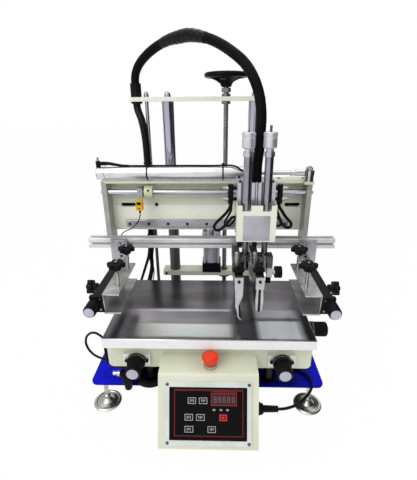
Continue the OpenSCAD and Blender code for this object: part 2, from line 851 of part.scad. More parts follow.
// Ribbed cylinder body, the two bright tubes in front of it, and the valves at its sides
module print_head() {
    half = head_half_w;
    rib = 9;
    color(alloy) {
        difference() {
            block([head_x - half, head_front, head_bottom], [head_x + half, head_back, head_top]);
            for (x = [-33, -16.5, 0, 16.5, 33]) translate([head_x + x, head_front, head_bottom - 1])
                cylinder(d = rib, h = head_top - head_bottom + 2);
            for (s = [-1, 1], y = [-40, -22, -4]) translate([head_x + s * half, y, 530])
                cylinder(d = rib, h = head_top - 529);
        }
        difference() {
            union() {
                block([head_x - half, rod_y - 12, head_bottom], [head_x + half, head_front, head_bottom + 8]);
                for (s = [-1, 1]) translate([head_x + s * rod_dx, rod_y, 0]) {
                    rod(tube_d, head_bottom, tube_top);
                    rod(24, tube_top, ring_top);
                    block([-8, 6, head_bottom], [8, head_front - rod_y + 5, cover_step - 6]);
                }
            }
            for (s = [-1, 1]) translate([head_x + s * rod_dx, rod_y, 0])
                rod(rod_d + 2 * run_gap, head_bottom - 1, ring_top + 1);
        }
    }
    color(black) {
        for (s = [-1, 1]) {
            translate([head_x + s * (half + 16), -31, 548]) cylinder(d = 14, h = 48);
            for (z = [559, 587]) translate([head_x + s * (half + 16), -31, z]) rotate([0, s * 90, 0]) {
                translate([0, 0, -17]) cylinder(d = 9, h = 29);
                cylinder(d = 6, h = 19);
            }
        }
        for (x = [76, 114]) translate([x, rod_y, 0]) rod(12, 446, head_bottom);
    }
}

// Folded front cover with a notch round each tube
module head_cover() {
    half = head_half_w + sheet_t;
    color(cream) difference() {
        union() {
            block([head_x - half, cover_front, cover_z], [head_x + half, cover_front + sheet_t, cover_top]);
            for (x = [head_x - half, head_x + half - sheet_t])
                block([x, cover_front, cover_z], [x + sheet_t, head_front + 20, cover_top]);
            block(
                [head_x - half, cover_front, cover_step - sheet_t],
                [head_x + half, head_front - slide_gap, cover_step]
            );
        }
        for (s = [-1, 1]) translate([head_x + s * rod_dx, rod_y, 0]) {
            rod(tube_d + 1, cover_step - 10, cover_top + 1);
            block([-10.5, -20, cover_step], [10.5, 0, cover_top + 1]);
        }
    }
}

// Lift rod that ends in the yoke below and in the stroke cap above
module lift_shaft(x, stud_h) {
    neck_z = ring_top + slide_gap;
    cap_z = ring_top + 8;
    color(chrome) translate([x, rod_y, 0]) {
        rod(rod_d, yoke_top - 12, cap_z);
        rotate_extrude() polygon([
            [0, neck_z], [9, neck_z], [9, cap_z], [14, cap_z], [15.5, cap_z + 2], [15.5, cap_z + 22],
            [14.8, cap_z + 23], [14.8, cap_z + 24], [15.5, cap_z + 25], [15.5, cap_z + 33],
            [14, cap_z + 35], [0, cap_z + 35]
        ]);
        rod(6, cap_z + 35, cap_z + 35 + stud_h);
    }
}

module squeegee_shaft() {
    lift_shaft(head_x + rod_dx, 14);
}

module flood_shaft() {
    lift_shaft(head_x - rod_dx, 3);
}

// Yoke on the lift rod: crosspiece with the rod's socket and the small stroke post
module yoke(low_x, high_x, shaft_x, post_x) {
    difference() {
        block([low_x, rod_y - 15, bar_top], [high_x, rod_y + 15, yoke_top]);
        translate([shaft_x, rod_y, yoke_top - 12]) cylinder(d = rod_d + 0.02, h = 13);
    }
    translate([post_x, rod_y, yoke_top]) cylinder(d = 9, h = 6);
}

// Knurled thumb nut on its stud, standing on the front of a bar
module thumb_nut(x) {
    translate([x, -140, bar_top]) {
        cylinder(d = 8, h = 14);
        translate([0, 0, 2]) cylinder(d = 25, h = 8);
    }
}

module squeegee_holder() {
    x = squeegee_x;
    side = head_x + rod_dx + 8.5;
    color(alloy) {
        yoke(x - 12, head_x + rod_dx + 14, head_x + rod_dx, 114);
        block([x - 10, bar_front, bar_z], [x + 10, bar_front + bar_l, bar_top]);
        for (s = [-1, 1]) translate([x, bar_front + bar_l, 0]) rotate([90, 0, 0]) linear_extrude(bar_l) polygon([
            [s * 3, 320], [s * 7.5, 320], [s * 9.5, 350], [s * 7.5, bar_z], [s * 3, bar_z]
        ]);
        block([side, rod_y - 15, 366], [side + 13, rod_y + 15, yoke_top]);
        translate([side + 12, rod_y, 374]) along_x() cylinder(d = 14, h = 10);
    }
    color(black) {
        thumb_nut(x);
        translate([side + 21.5, rod_y, 374]) along_x() cylinder(d = 31, h = 18);
        translate([side + 6, rod_y, 0]) rod(8, 359, 368);
        translate([side + 6, rod_y, 0]) rod(14, 344, 360);
    }
}

module squeegee_blade() {
    color([0.15, 0.16, 0.15]) translate([squeegee_x, bar_front + bar_l - 2, 0]) rotate([90, 0, 0])
        linear_extrude(bar_l - 4) polygon([[-3, 316], [3, 316], [3, bar_z], [-3, bar_z]]);
}

// Yoke, clamp bar and the thin swan-necked blade that spreads the ink
module flood_bar() {
    x = flood_x;
    color(alloy) {
        yoke(x - 10, head_x - rod_dx + 13, head_x - rod_dx, 70);
        block([x - 10, bar_front, bar_z], [x + 10, bar_front + bar_l, bar_top]);
        translate([x, bar_front + bar_l, 0]) rotate([90, 0, 0]) linear_extrude(bar_l) polygon([
            [-9, bar_z], [-8, 352], [-8, 333], [-6, 326], [-3, 316], [-2, 303], [1, 297], [7, 292],
            [8.5, 294], [3, 300], [1, 305], [0.5, 318], [0, 332], [4, 345], [9, 358], [10, bar_z]
        ]);
    }
    color(black) thumb_nut(x);
}

// Draws a clamp for the right side from its web's outer face; the left one is its mirror
module at_web(web) {
    translate([web, 0, 0]) if (web < 0) mirror([1, 0, 0]) children();
    else children();
}

// Bracket on the slotted rail, bar towards the front, and the locking knob outside it
module clamp_arm() {
    arm_top = arm_z + arm_h;
    outer = bar_gap + arm_w;
    color(black) {
        difference() {
            block([bar_gap, arm_front, arm_z], [outer, clamp_y, arm_top]);
            translate([fine_x, arm_front - 1, fine_z]) along_y() cylinder(d = 8 + 2 * run_gap, h = 45);
        }
        translate([outer, -119, fine_z]) along_x() cylinder(d = 9, h = 8);
        translate([outer + 19, -119, fine_z]) along_x() star_grip(38, 12, 6, 20, 12);
    }
    color(alloy) difference() {
        block([4, clamp_y, arm_z], [54, rail_face - slide_gap, slot_rail_z + slot_side / 2]);
        translate([29, clamp_y - 1, slot_rail_z]) along_y() cylinder(d = 8.4, h = 10);
    }
    color(chrome) {
        translate([29, clamp_y - 6, slot_rail_z]) along_y() {
            cylinder(d = 13, h = 6);
            cylinder(d = 7, h = 18);
        }
        block([21, rail_face + 3, slot_rail_z - 7], [37, rail_face + 5, slot_rail_z + 7]);
    }
}

// Channel that takes the edge of the screen, with its guide pads and front block
module clamp_channel() {
    top = channel_z + channel_h;
    pad = bar_gap - slide_gap;
    color(alloy) difference() {
        union() {
            block([-channel_w, channel_front, channel_z], [0, channel_front + channel_l, channel_z + channel_t]);
            block([-channel_w, channel_front, top - channel_t], [0, channel_front + channel_l, top]);
            block([-channel_t, channel_front, channel_z], [0, channel_front + channel_l, top]);
        }
        for (y = screw_ys) translate([-screw_inset, y, top - channel_t - 1])
            cylinder(d = 8 + 2 * run_gap, h = channel_t + 2);
    }
    color(black) {
        for (y = [-160, -60]) block([0, y, arm_z], [pad, y + 20, arm_z + arm_h]);
        difference() {
            block([0, channel_front, channel_z + 4], [31, channel_front + 11, top - 6]);
            translate([fine_x, channel_front - 1, fine_z]) along_y() cylinder(d = 8 + 2 * run_gap, h = 13);
        }
    }
}

// Knob of the fine adjustment: its screw runs through the front block into the arm
module fine_knob() {
    color(black) translate([fine_x, channel_front - slide_gap, fine_z]) rotate([90, 0, 0])
        rotate_extrude() polygon([
            [0, -50], [4, -50], [4, 0], [13, 0], [14.5, 2], [14.5, 34], [13, 37], [11.5, 37], [11.5, 38.5],
            [0, 38.5]
        ]);
}

// Clamp screw with its star grip, in the hole of the channel's upper flange
module clamp_screw(y) {
    top = channel_z + channel_h;
    color(black) translate([-screw_inset, y, 0]) {
        rod(8, top - channel_t - 6, top + 45);
        translate([0, 0, top + 48]) star_grip(38, 12, 6, 20, 16);
        rod(14, top - channel_t - 10, top - channel_t - 5);
    }
}

module left_arm() {
    at_web(left_web) clamp_arm();
}

module right_arm() {
    at_web(right_web) clamp_arm();
}

module left_channel() {
    at_web(left_web) clamp_channel();
}

module right_channel() {
    at_web(right_web) clamp_channel();
}

module left_fine_knob() {
    at_web(left_web) fine_knob();
}

module right_fine_knob() {
    at_web(right_web) fine_knob();
}

module left_front_screw() {
    at_web(left_web) clamp_screw(screw_ys[0]);
}

module left_rear_screw() {
    at_web(left_web) clamp_screw(screw_ys[1]);
}

module right_front_screw() {
    at_web(right_web) clamp_screw(screw_ys[0]);
}

module right_rear_screw() {
    at_web(right_web) clamp_screw(screw_ys[1]);
}

// Threaded gland in the tongue of the top plate, with its nut underneath
module conduit_socket() {
    top = column_top + plate_t;
    color(black) translate([socket_x, column_y, 0]) {
        rod(20, column_top - 6, top);
        rod(32, top, top + 38);
        translate([0, 0, column_top - 6]) hexagon(30, 6);
    }
}

module conduit_rear() {
    color(black) hose(arch_rear, conduit_d, 1, 12);
}

module conduit_front() {
    color(black) hose(arch_front, conduit_d, 1, 12);
}

module hose_bundle() {
    color(black) hose(bundle_route, bundle_d, 1, 10);
}

module air_loop() {
    color(black) hose(loop_route, loop_d, 1, 8);
}

module head_hoses() {
    color(black) {
        hose(left_hose, hose_d, 1, 8);
        hose(right_hose, hose_d, 1, 8);
        hose(top_hose, top_hose_d, 1, 8);
    }
}

// Plug in the side of the control box: body, tapered grip and ribbed strain relief
module mains_plug() {
    outside = box_half_w;
    color(black) {
        block([outside - 12, plug_y - 13, plug_z - 8], [outside + 5, plug_y + 13, plug_z + 8]);
        translate([0, 0, plug_z - 8]) linear_extrude(16) polygon([
            [outside + 5, plug_y - 13], [outside + 17, plug_y - 8.5], [outside + 17, plug_y + 8.5],
            [outside + 5, plug_y + 13]
        ]);
        translate([outside + 16, plug_y, plug_z]) along_x() {
            cylinder(d = 13, h = 33);
            for (x = [1 : 5 : 26]) translate([0, 0, x]) cylinder(d = 15, h = 3);
        }
    }
}

module mains_cord() {
    color(black) hose(lead_route, lead_d, 2, 8);
}

module mains_coil() {
    color(black) translate([coil_at.x, coil_at.y, base_top]) rotate_extrude()
        translate([coil_r - lead_d, 0]) square([2 * lead_d, 2 * lead_d]);
}

// Moulded plug at the far end of the mains lead, with two round pins and its lead at the side
module wall_plug() {
    color(black) translate([-225, -103.5, base_top + 13]) {
        rotate([90, 0, 0]) rotate_extrude() polygon([
            [0, 0], [12, 0], [13, 1], [13, 24], [12, 29], [9, 33], [5, 34.5], [0, 35]
        ]);
        translate([10, -8, -3]) along_x() cylinder(d = 9, h = 5.5);
        for (x = [-9.5, 9.5]) translate([x, 0, 0]) along_y() cylinder(d = 4.8, h = 19);
    }
}

base_plate();
levelling_feet();
bed_pillars();
bed_housing();
control_box();
panel_bezel();
keypad();
estop_collar();
estop_button();
knob_bearings();
front_knob_left();
front_knob_right();
side_knob();
cross_slide();
work_table();
columns();
column_base();
top_plate();
handwheel();
lead_screw();
lift_plate();
lead_nut();
lift_cylinder();
lift_rod();
slide_block();
beam_frame();
guide_rod();
linear_rail();
clamp_rail();
end_stop();
stroke_rod();
saddle();
stroke_cylinder();
print_head();
head_cover();
squeegee_shaft();
squeegee_holder();
squeegee_blade();
flood_shaft();
flood_bar();
left_arm();
left_channel();
left_fine_knob();
left_front_screw();
left_rear_screw();
right_arm();
right_channel();
right_fine_knob();
right_front_screw();
right_rear_screw();
conduit_socket();
conduit_rear();
conduit_front();
hose_bundle();
air_loop();
head_hoses();
mains_plug();
mains_cord();
mains_coil();
wall_plug();
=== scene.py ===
"""Bench screen printing machine: cream castings and sheet on a blue plate, chromed columns,
an air-driven print head on a beam, two screen clamps and a ground work table.
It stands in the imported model's frame: X to the right, Y to the back, Z up. Places and shapes
are written in mm; the studio, the patterns of the finishes and the sizes that a geometry tree
takes are in metres."""

import json
import math

import bmesh
import bpy
from mathutils import Matrix, Vector

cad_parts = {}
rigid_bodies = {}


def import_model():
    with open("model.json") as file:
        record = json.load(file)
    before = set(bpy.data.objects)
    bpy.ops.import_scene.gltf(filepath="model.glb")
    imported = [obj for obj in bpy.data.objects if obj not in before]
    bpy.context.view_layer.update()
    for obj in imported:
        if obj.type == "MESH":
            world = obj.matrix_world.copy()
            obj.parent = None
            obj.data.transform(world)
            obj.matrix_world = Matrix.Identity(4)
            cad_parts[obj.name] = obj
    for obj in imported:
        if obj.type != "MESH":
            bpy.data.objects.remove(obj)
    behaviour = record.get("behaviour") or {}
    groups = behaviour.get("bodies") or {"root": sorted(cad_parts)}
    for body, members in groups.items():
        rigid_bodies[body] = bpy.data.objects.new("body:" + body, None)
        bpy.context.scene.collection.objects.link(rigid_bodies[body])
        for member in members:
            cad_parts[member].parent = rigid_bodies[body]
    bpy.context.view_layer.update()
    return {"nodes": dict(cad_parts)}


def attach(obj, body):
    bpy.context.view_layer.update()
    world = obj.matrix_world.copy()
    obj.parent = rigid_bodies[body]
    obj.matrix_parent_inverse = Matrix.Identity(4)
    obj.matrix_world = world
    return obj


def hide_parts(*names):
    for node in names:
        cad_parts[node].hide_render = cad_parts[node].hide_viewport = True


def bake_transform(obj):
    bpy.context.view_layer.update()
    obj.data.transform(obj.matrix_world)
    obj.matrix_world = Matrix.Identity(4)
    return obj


for spare in list(bpy.data.objects):
    bpy.data.objects.remove(spare)
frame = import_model()
parts = frame["nodes"]


# Studio: a pale floor under soft lamps, in a white room with a few darker stretches of wall
# and a dark flag on the right, all of which only polished metal picks up. The camera stands
# above the beam and looks down.
MM = 0.001
studio = bpy.context.scene
studio.view_settings.view_transform = "Standard"


def shade(red, green, blue):
    """A colour written as it looks, 0 to 255, as Blender counts light."""
    return tuple(
        c / 255 / 12.92 if c < 11 else ((c / 255 + 0.055) / 1.055) ** 2.4 for c in (red, green, blue)
    ) + (1.0,)


def add(tree, kind, plugs=None, **settings):
    """A new node: plugs are values or sockets for its inputs, settings are its own choices."""
    node = tree.nodes.new(kind)
    for name, value in settings.items():
        setattr(node, name, value)
    for key, value in (plugs or {}).items():
        if isinstance(value, bpy.types.NodeSocket):
            tree.links.new(value, node.inputs[key])
        else:
            node.inputs[key].default_value = value
    return node


def sum_of(tree, operation, a, b=0.0):
    return add(tree, "ShaderNodeMath", {0: a, 1: b}, operation=operation).outputs[0]


def put(name, data):
    """A new object with this data, in the scene."""
    made = bpy.data.objects.new(name, data)
    studio.collection.objects.link(made)
    return made


pitch, yaw, roll = (math.radians(a) for a in (21.6, 1.6, -0.42))
ahead = Vector((-math.sin(yaw) * math.cos(pitch), math.cos(yaw) * math.cos(pitch), -math.sin(pitch)))
across = Vector((math.cos(yaw), math.sin(yaw), 0))
down = Vector((math.sin(yaw) * math.sin(pitch), -math.cos(yaw) * math.sin(pitch), -math.cos(pitch)))
picture_right = math.cos(roll) * across - math.sin(roll) * down
picture_down = math.sin(roll) * across + math.cos(roll) * down
lens = bpy.data.cameras.new("view")
lens.lens, lens.clip_end = 25.5, 30
view = put("view", lens)
view.matrix_world = Matrix.Translation((0.020, -0.872, 0.780)) @ Matrix(
    (picture_right, -picture_down, -ahead)
).transposed().to_4x4()
studio.camera = view


def kinds_of_ray(tree):
    """The kinds of ray that meet this, and whether the camera looks at it, straight or through glass."""
    rays = add(tree, "ShaderNodeLightPath").outputs
    return rays, sum_of(tree, "MAXIMUM", rays["Is Camera Ray"], rays["Is Transmission Ray"])


room = bpy.data.worlds.new("room")
studio.world = room
room.use_nodes = True
walls = room.node_tree
looking = add(walls, "ShaderNodeTexCoord").outputs["Generated"]
facing = add(walls, "ShaderNodeSeparateXYZ", {0: looking}).outputs
turn = sum_of(walls, "ARCTAN2", facing[0], sum_of(walls, "MULTIPLY", facing[1], -1.0))
turn_share = add(walls, "ShaderNodeMath", {0: turn, 1: 1 / math.tau, 2: 0.5}, operation="MULTIPLY_ADD")
wall_tone = add(walls, "ShaderNodeValToRGB", {0: turn_share.outputs[0]})
tones = wall_tone.color_ramp
tones.interpolation = "EASE"
WALL_TONES = [(0.0, 0.50), (0.12, 0.62), (0.30, 0.72), (0.42, 0.92), (0.53, 0.85), (0.585, 0.30),
              (0.70, 0.10), (0.80, 0.14), (0.87, 0.55), (1.0, 0.50)]
tones.elements[0].position, tones.elements[1].position = 0.0, 1.0
for position, _ in WALL_TONES[1:-1]:
    tones.elements.new(position)
for element, (_, tone) in zip(tones.elements, WALL_TONES):
    element.color = (tone, tone, tone, 1)
ceiling = add(walls, "ShaderNodeMapRange", {"Value": facing[2], "From Min": 0.3, "From Max": 0.75}).outputs[0]
reflected = add(walls, "ShaderNodeMix", {0: ceiling, 2: wall_tone.outputs[0], 3: 1.0}).outputs[0]
rays, looked_at = kinds_of_ray(walls)
on_object = add(walls, "ShaderNodeMix", {0: rays["Is Glossy Ray"], 2: 0.56, 3: reflected}).outputs[0]
level = add(walls, "ShaderNodeMix", {0: looked_at, 2: on_object, 3: 1.0}).outputs[0]
walls.nodes["Background"].inputs["Color"].default_value = (1, 1, 1, 1)
walls.links.new(level, walls.nodes["Background"].inputs["Strength"])

for name, power, size, place in (
    ("key", 38, 1.8, (-1.3, -1.7, 2.3)), ("fill", 5, 1.6, (1.7, -1.3, 1.2)),
    ("top", 16, 2.2, (0.2, 0.6, 2.7)),
):
    lamp = bpy.data.lights.new(name, "AREA")
    lamp.energy, lamp.size = power, size
    stand = put(name, lamp)
    stand.location = place
    stand.rotation_euler = (Vector((0, 0, 0.4)) - Vector(place)).to_track_quat("-Z", "Y").to_euler()

flag_mesh = bpy.data.meshes.new("dark_flag")
FLAG_FEET, FLAG_TALL = [(0.66, -1.28), (1.45, 0.45), (1.0, 1.7)], 1.5
flag_corners = [(x, y, z) for z in (0, FLAG_TALL) for x, y in FLAG_FEET]
flag_mesh.from_pydata(flag_corners, [], [(0, 1, 4, 3), (1, 2, 5, 4)])
flag = put("dark_flag", flag_mesh)
felt = bpy.data.materials.new("felt")
felt.use_nodes = True
felt.node_tree.nodes["Principled BSDF"].inputs["Base Color"].default_value = (0.012, 0.012, 0.014, 1)
felt.node_tree.nodes["Principled BSDF"].inputs["Roughness"].default_value = 0.9
flag_mesh.materials.append(felt)
flag.visible_camera = flag.visible_diffuse = flag.visible_shadow = False

floor_mesh = bpy.data.meshes.new("floor")
FLOOR_HALF, FLOOR_Z = 15, -0.0004
floor_corners = [(x * FLOOR_HALF, y * FLOOR_HALF, FLOOR_Z) for x, y in ((-1, -1), (1, -1), (1, 1), (-1, 1))]
floor_mesh.from_pydata(floor_corners, [], [(0, 1, 2, 3)])
floor = put("floor", floor_mesh)
paper = bpy.data.materials.new("paper")
paper.use_nodes = True
sheet = paper.node_tree
sheet.nodes.clear()
rays, looked_at = kinds_of_ray(sheet)
white_share = sum_of(sheet, "MULTIPLY", sum_of(sheet, "MAXIMUM", looked_at, rays["Is Glossy Ray"]), 0.978)
matt = add(sheet, "ShaderNodeBsdfDiffuse", {"Color": (0.90, 0.90, 0.89, 1)})
glow = add(sheet, "ShaderNodeEmission", {"Color": (1, 1, 1, 1), "Strength": 1.0})
both = add(sheet, "ShaderNodeMixShader", {0: white_share, 1: matt.outputs[0], 2: glow.outputs[0]})
add(sheet, "ShaderNodeOutputMaterial", {"Surface": both.outputs[0]})
floor_mesh.materials.append(paper)


# Base plate: 6 mm steel plate with rounded corners, laser cut and powder coated a deep glossy
# blue. Its cut edge is painted a darker blue and its top a deep navy below the bed, both as
# painted shade. Its underside is dark grey primer, its darkness also standing in for the shade
# under the plate that the feet reflect. The feet's studs and the bed's spacers are screwed
# through it.
PLATE_LOW, PLATE_TOP = 86, 92


class Finish:
    """A material in the making. Its patterns read the piece's own coordinates, in metres."""

    def __init__(self, name, metallic=0.0, **constants):
        self.material = bpy.data.materials.new(name)
        self.material.use_nodes = True
        self.tree = self.material.node_tree
        self.shader = self.tree.nodes["Principled BSDF"]
        self.place = add(self.tree, "ShaderNodeTexCoord").outputs["Object"]
        self.normal = None
        self.set("Metallic", metallic)
        for constant, value in constants.items():
            self.set(constant.replace("_", " "), value)

    def set(self, name, value):
        if isinstance(value, bpy.types.NodeSocket):
            self.tree.links.new(value, self.shader.inputs[name])
        else:
            self.shader.inputs[name].default_value = value

    def axes(self):
        """A place's X, Y and Z."""
        return add(self.tree, "ShaderNodeSeparateXYZ", {0: self.place}).outputs

    def stretched(self, x, y, z):
        """The piece's coordinates, finer by these factors: a low one draws a pattern out that way."""
        return add(self.tree, "ShaderNodeMapping", {"Vector": self.place, "Scale": (x, y, z)}).outputs[0]

    def noise(self, scale, detail=3.0, place=None):
        plugs = {"Vector": place or self.place, "Scale": scale, "Detail": detail}
        return add(self.tree, "ShaderNodeTexNoise", plugs).outputs[0]

    def spread(self, value, low, high, at_low=0.0, at_high=1.0):
        plugs = {"Value": value, "From Min": low, "From Max": high, "To Min": at_low, "To Max": at_high}
        return add(self.tree, "ShaderNodeMapRange", plugs).outputs[0]

    def mix(self, share, a, b):
        """From a to b; a colour is written as three numbers up to 255, or comes from a socket."""
        a, b = (shade(*colour) if isinstance(colour, tuple) else colour for colour in (a, b))
        return add(self.tree, "ShaderNodeMix", {0: share, 6: a, 7: b}, data_type="RGBA").outputs[2]

    def clouded(self, pattern, colour, deeper, reach=0.2):
        return self.mix(self.spread(pattern, 0.5 - reach, 0.5 + reach), colour, deeper)

    def tinted(self, base, local, tint):
        """The base colour, with the tint where local finds it from the place's X, Y and Z."""
        return self.mix(local(self, *self.axes()), base, tint) if local else base

    def math(self, operation, a, b=0.0):
        return sum_of(self.tree, operation, a, b)

    def times(self, a, b):
        return sum_of(self.tree, "MULTIPLY", a, b)

    def rough(self, pattern, low, high):
        self.set("Roughness", self.spread(pattern, 0.3, 0.7, low, high))

    def relief(self, height, depth):
        """Raises the surface by up to depth where height is 1, on top of the relief so far."""
        plugs = {"Height": height, "Distance": depth, "Strength": 1.0}
        if self.normal:
            plugs["Normal"] = self.normal
        self.normal = add(self.tree, "ShaderNodeBump", plugs).outputs[0]
        self.set("Normal", self.normal)

    def edges(self, radius):
        """1 on the outside edges of the piece and 0 on its flats."""
        rounded = add(self.tree, "ShaderNodeBevel", {"Radius": radius}, samples=4).outputs[0]
        flat = add(self.tree, "ShaderNodeNewGeometry").outputs["Normal"]
        same = add(self.tree, "ShaderNodeVectorMath", {0: rounded, 1: flat}, operation="DOT_PRODUCT")
        return self.spread(same.outputs["Value"], 0.97, 0.80)


def paint(name, colour, deeper, worn, gloss, coat_weight=0.25, shine=0.5, local=None, tint=None):
    """Powder coat: slight clouds in the colour, orange peel, and edges rubbed where hands pass."""
    coat = Finish(name, Coat_Weight=coat_weight, Coat_Roughness=0.12, Specular_IOR_Level=shine)
    # Local and tint, where a caller gives them, tint the base colour; they carry painted shade or painted
    # light.
    base = coat.tinted(coat.clouded(coat.noise(9, 4), colour, deeper, 0.15), local, tint)
    rubbed = coat.times(coat.edges(0.0016), coat.spread(coat.noise(160, 5), 0.50, 0.62, 0.0, 0.55))
    coat.set("Base Color", coat.mix(rubbed, base, worn))
    coat.rough(coat.noise(60, 3), gloss, gloss + 0.12)
    coat.relief(coat.noise(420, 2), 0.00003)
    return coat.material


def dress(name, material, *zones, eased=0.0):
    """Gives a CAD piece its finish, and another to the faces that a zone's test picks, in mm.
    Eased edges are welded corners with a small rounding, as a real edge has."""
    node = parts[name]
    node.data.materials.clear()
    node.data.materials.append(material)
    for other, inside in zones:
        node.data.materials.append(other)
        for face in node.data.polygons:
            if inside(*(face.center * 1000)):
                face.material_index = len(node.data.materials) - 1
    if eased:
        weld = node.modifiers.new("weld", "WELD")
        weld.merge_threshold = 0.000004
        ease = node.modifiers.new("eased", "BEVEL")
        ease.width, ease.segments = eased * MM, 2
        ease.limit_method, ease.angle_limit = "ANGLE", math.radians(40)
        ease.harden_normals = True


# Painted shade: the share of the plate's top below the bed, darkened towards a deep navy.
def painted_shade_below_bed(coat, x, y, z):
    from_middle = coat.math("ABSOLUTE", coat.math("ADD", x, -0.02))
    return coat.times(coat.spread(from_middle, 0.20, 0.26, 0.8, 0), coat.spread(y, -0.205, -0.165, 0.45, 1))


# The blue's navy tint below the bed is painted shade.
blue_paint = paint("blue_paint", (9, 20, 218), (6, 15, 196), (56, 70, 200), 0.26,
                   coat_weight=0.02, shine=0.06, local=painted_shade_below_bed, tint=(6, 7, 66))
# Painted shade: the plate's cut edges are a darker blue than its top.
blue_edge_shade = paint("blue_edge_shade", (6, 12, 128), (4, 9, 108), (40, 50, 150), 0.30, coat_weight=0.02, shine=0.06)
# The underside's dark grey is primer and also painted shade, darkening what the feet reflect.
primer_and_shade = paint("primer_and_shade", (46, 46, 48), (32, 32, 34), (80, 80, 80), 0.5, coat_weight=0.0, shine=0.1)
dress("base_plate", blue_paint, (blue_edge_shade, lambda x, y, z: z < PLATE_TOP - 0.1),
      (primer_and_shade, lambda x, y, z: z < PLATE_LOW + 0.01), eased=0.8)


# Levelling feet: turned steel pads with a rolled rim, welded to M12 studs and nickel plated.
# A locknut holds each against the plate, and the stud's end was painted with the plate.
def bright(name, colour, deeper, gloss, lines=None, depth=0.000004, metallic=1.0, dents=0.0,
           local=None, tint=None):
    """Polished or ground metal: faint clouds, and fine lines drawn out along the low factor."""
    metal = Finish(name, metallic)
    metal.set("Base Color", metal.tinted(metal.clouded(metal.noise(24, 4), colour, deeper), local, tint))
    scratch = metal.noise(90, 3, metal.stretched(*lines)) if lines else metal.noise(700, 3)
    metal.rough(scratch, gloss, gloss + 0.14)
    metal.relief(scratch, depth)
    if dents:
        metal.relief(metal.noise(75, 3), dents)
    return metal.material


nickel = bright("nickel", (196, 195, 192), (156, 155, 151), 0.30)
pad_nickel = bright("pad_nickel", (214, 214, 211), (164, 164, 161), 0.22, (8, 8, 60), 0.00002)
dress("levelling_feet", pad_nickel, (blue_paint, lambda x, y, z: z > PLATE_TOP + 0.5))


# Bed spacers: hexagonal bar between two washers, screwed through plate and bed, and the
# push-in air fitting that hangs under the bed's left side.
zinc = bright("zinc", (188, 189, 190), (150, 150, 152), 0.28)
black_oxide = bright("black_oxide", (52, 52, 55), (30, 30, 33), 0.30)
dress("bed_pillars", black_oxide, (zinc, lambda x, y, z: x < -220))


# Bed: aluminium casting, milled on top, coated cream. It carries the lower dovetail way.
cream = paint("cream", (222, 224, 205), (213, 216, 192), (178, 180, 168), 0.34)
way_steel = bright("way_steel", (140, 141, 144), (112, 113, 116), 0.24, (2, 60, 60))


def lower_way(x, y, z):
    return 170.5 < z < 187 and -99 < y < -21 and abs(x) < 181


dress("bed_housing", cream, (way_steel, lower_way), eased=0.8)


# Control box: 2 mm sheet folded to a flat top and a leaning front, coated like the bed. Its
# panel is a dark printed film in a white-anodised bezel.
dress("control_box", cream, eased=0.8)
bezel_white = bright("bezel_white", (226, 229, 226), (208, 211, 208), 0.34, (40, 3, 40), metallic=0.35)
dress("panel_bezel", bezel_white, eased=0.5)
film = Finish("film", Specular_IOR_Level=0.08)
film.set("Base Color", film.clouded(film.noise(40), (6, 4, 6), (11, 8, 10)))
film.rough(film.noise(220, 4), 0.16, 0.30)
film.relief(film.noise(900, 2), 0.000004)
dress("keypad", film.material)


def at(x, y, z=0.0):
    """A move to this place."""
    return Matrix.Translation(Vector((x, y, z)) * MM)


on_face = at(0, -323, 44) @ Matrix.Rotation(math.atan2(161, 64), 4, "X")


def finished(name, mesh, material, sharp=35):
    """The object of a mesh that is smooth but for its sharp edges."""
    mesh.shade_smooth()
    mesh.set_sharp_from_angle(angle=math.radians(sharp))
    mesh.materials.append(material)
    return put(name, mesh)


def mount(piece, body):
    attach(piece, body)
    return piece


def settle(name, shape, material, body, place=None, sharp=35):
    """Makes a bmesh a finished piece, its place in its mesh, riding on a body."""
    if place:
        bmesh.ops.transform(shape, matrix=place, verts=shape.verts)
    bmesh.ops.recalc_face_normals(shape, faces=shape.faces)
    mesh = bpy.data.meshes.new(name)
    shape.to_mesh(mesh)
    shape.free()
    return mount(finished(name, mesh, material, sharp), body)


def round_off(shape, edges, size, segments):
    return bmesh.ops.bevel(shape, geom=list(edges), offset=size * MM, segments=segments, affect="EDGES",
                           profile=0.5)


def slab(shape, low, high, ease=0.0, corner=0.0):
    """Adds a block from its low to its high corner; corner rounds its upright edges, ease the rest."""
    low, high = Vector(low) * MM, Vector(high) * MM
    place = Matrix.Translation((low + high) / 2) @ Matrix.Diagonal((*(high - low), 1))
    block = bmesh.ops.create_cube(shape, size=1.0, matrix=place)
    edges = {e for v in block["verts"] for e in v.link_edges}
    if corner:
        upright = [e for e in edges if abs((e.verts[0].co - e.verts[1].co).normalized().z) > 0.9]
        made = round_off(shape, upright, corner, 4)
        edges = {e for f in made["faces"] for v in f.verts for g in v.link_faces for e in g.edges}
        edges = {e for e in edges if len(e.link_faces) == 2 and e.calc_face_angle() > 1.2}
    if ease:
        round_off(shape, edges, ease, 2)
    return shape


def ink(name, colour, deeper, gloss):
    """Screen-printed ink or a thin cap: solid colour with the faint speckle of the mesh."""
    layer = Finish(name, Coat_Weight=0.08, Coat_Roughness=0.1, Specular_IOR_Level=0.2)
    layer.set("Base Color", layer.clouded(layer.noise(1500, 2), colour, deeper, 0.1))
    layer.rough(layer.noise(300), gloss, gloss + 0.1)
    layer.relief(layer.noise(1500, 2), 0.000006)
    return layer.material


WINDOW_LOW, FILM_TOP, INK_T = 21.5, 1.5, 0.12


def patch(shape, x0, x1, y0, y1, thick=INK_T, below=0.02):
    """Adds a rectangle printed on the panel's film, its height counted from the window's lower edge."""
    return slab(shape, (x0, WINDOW_LOW + y0, FILM_TOP - below), (x1, WINDOW_LOW + y1, FILM_TOP + thick))


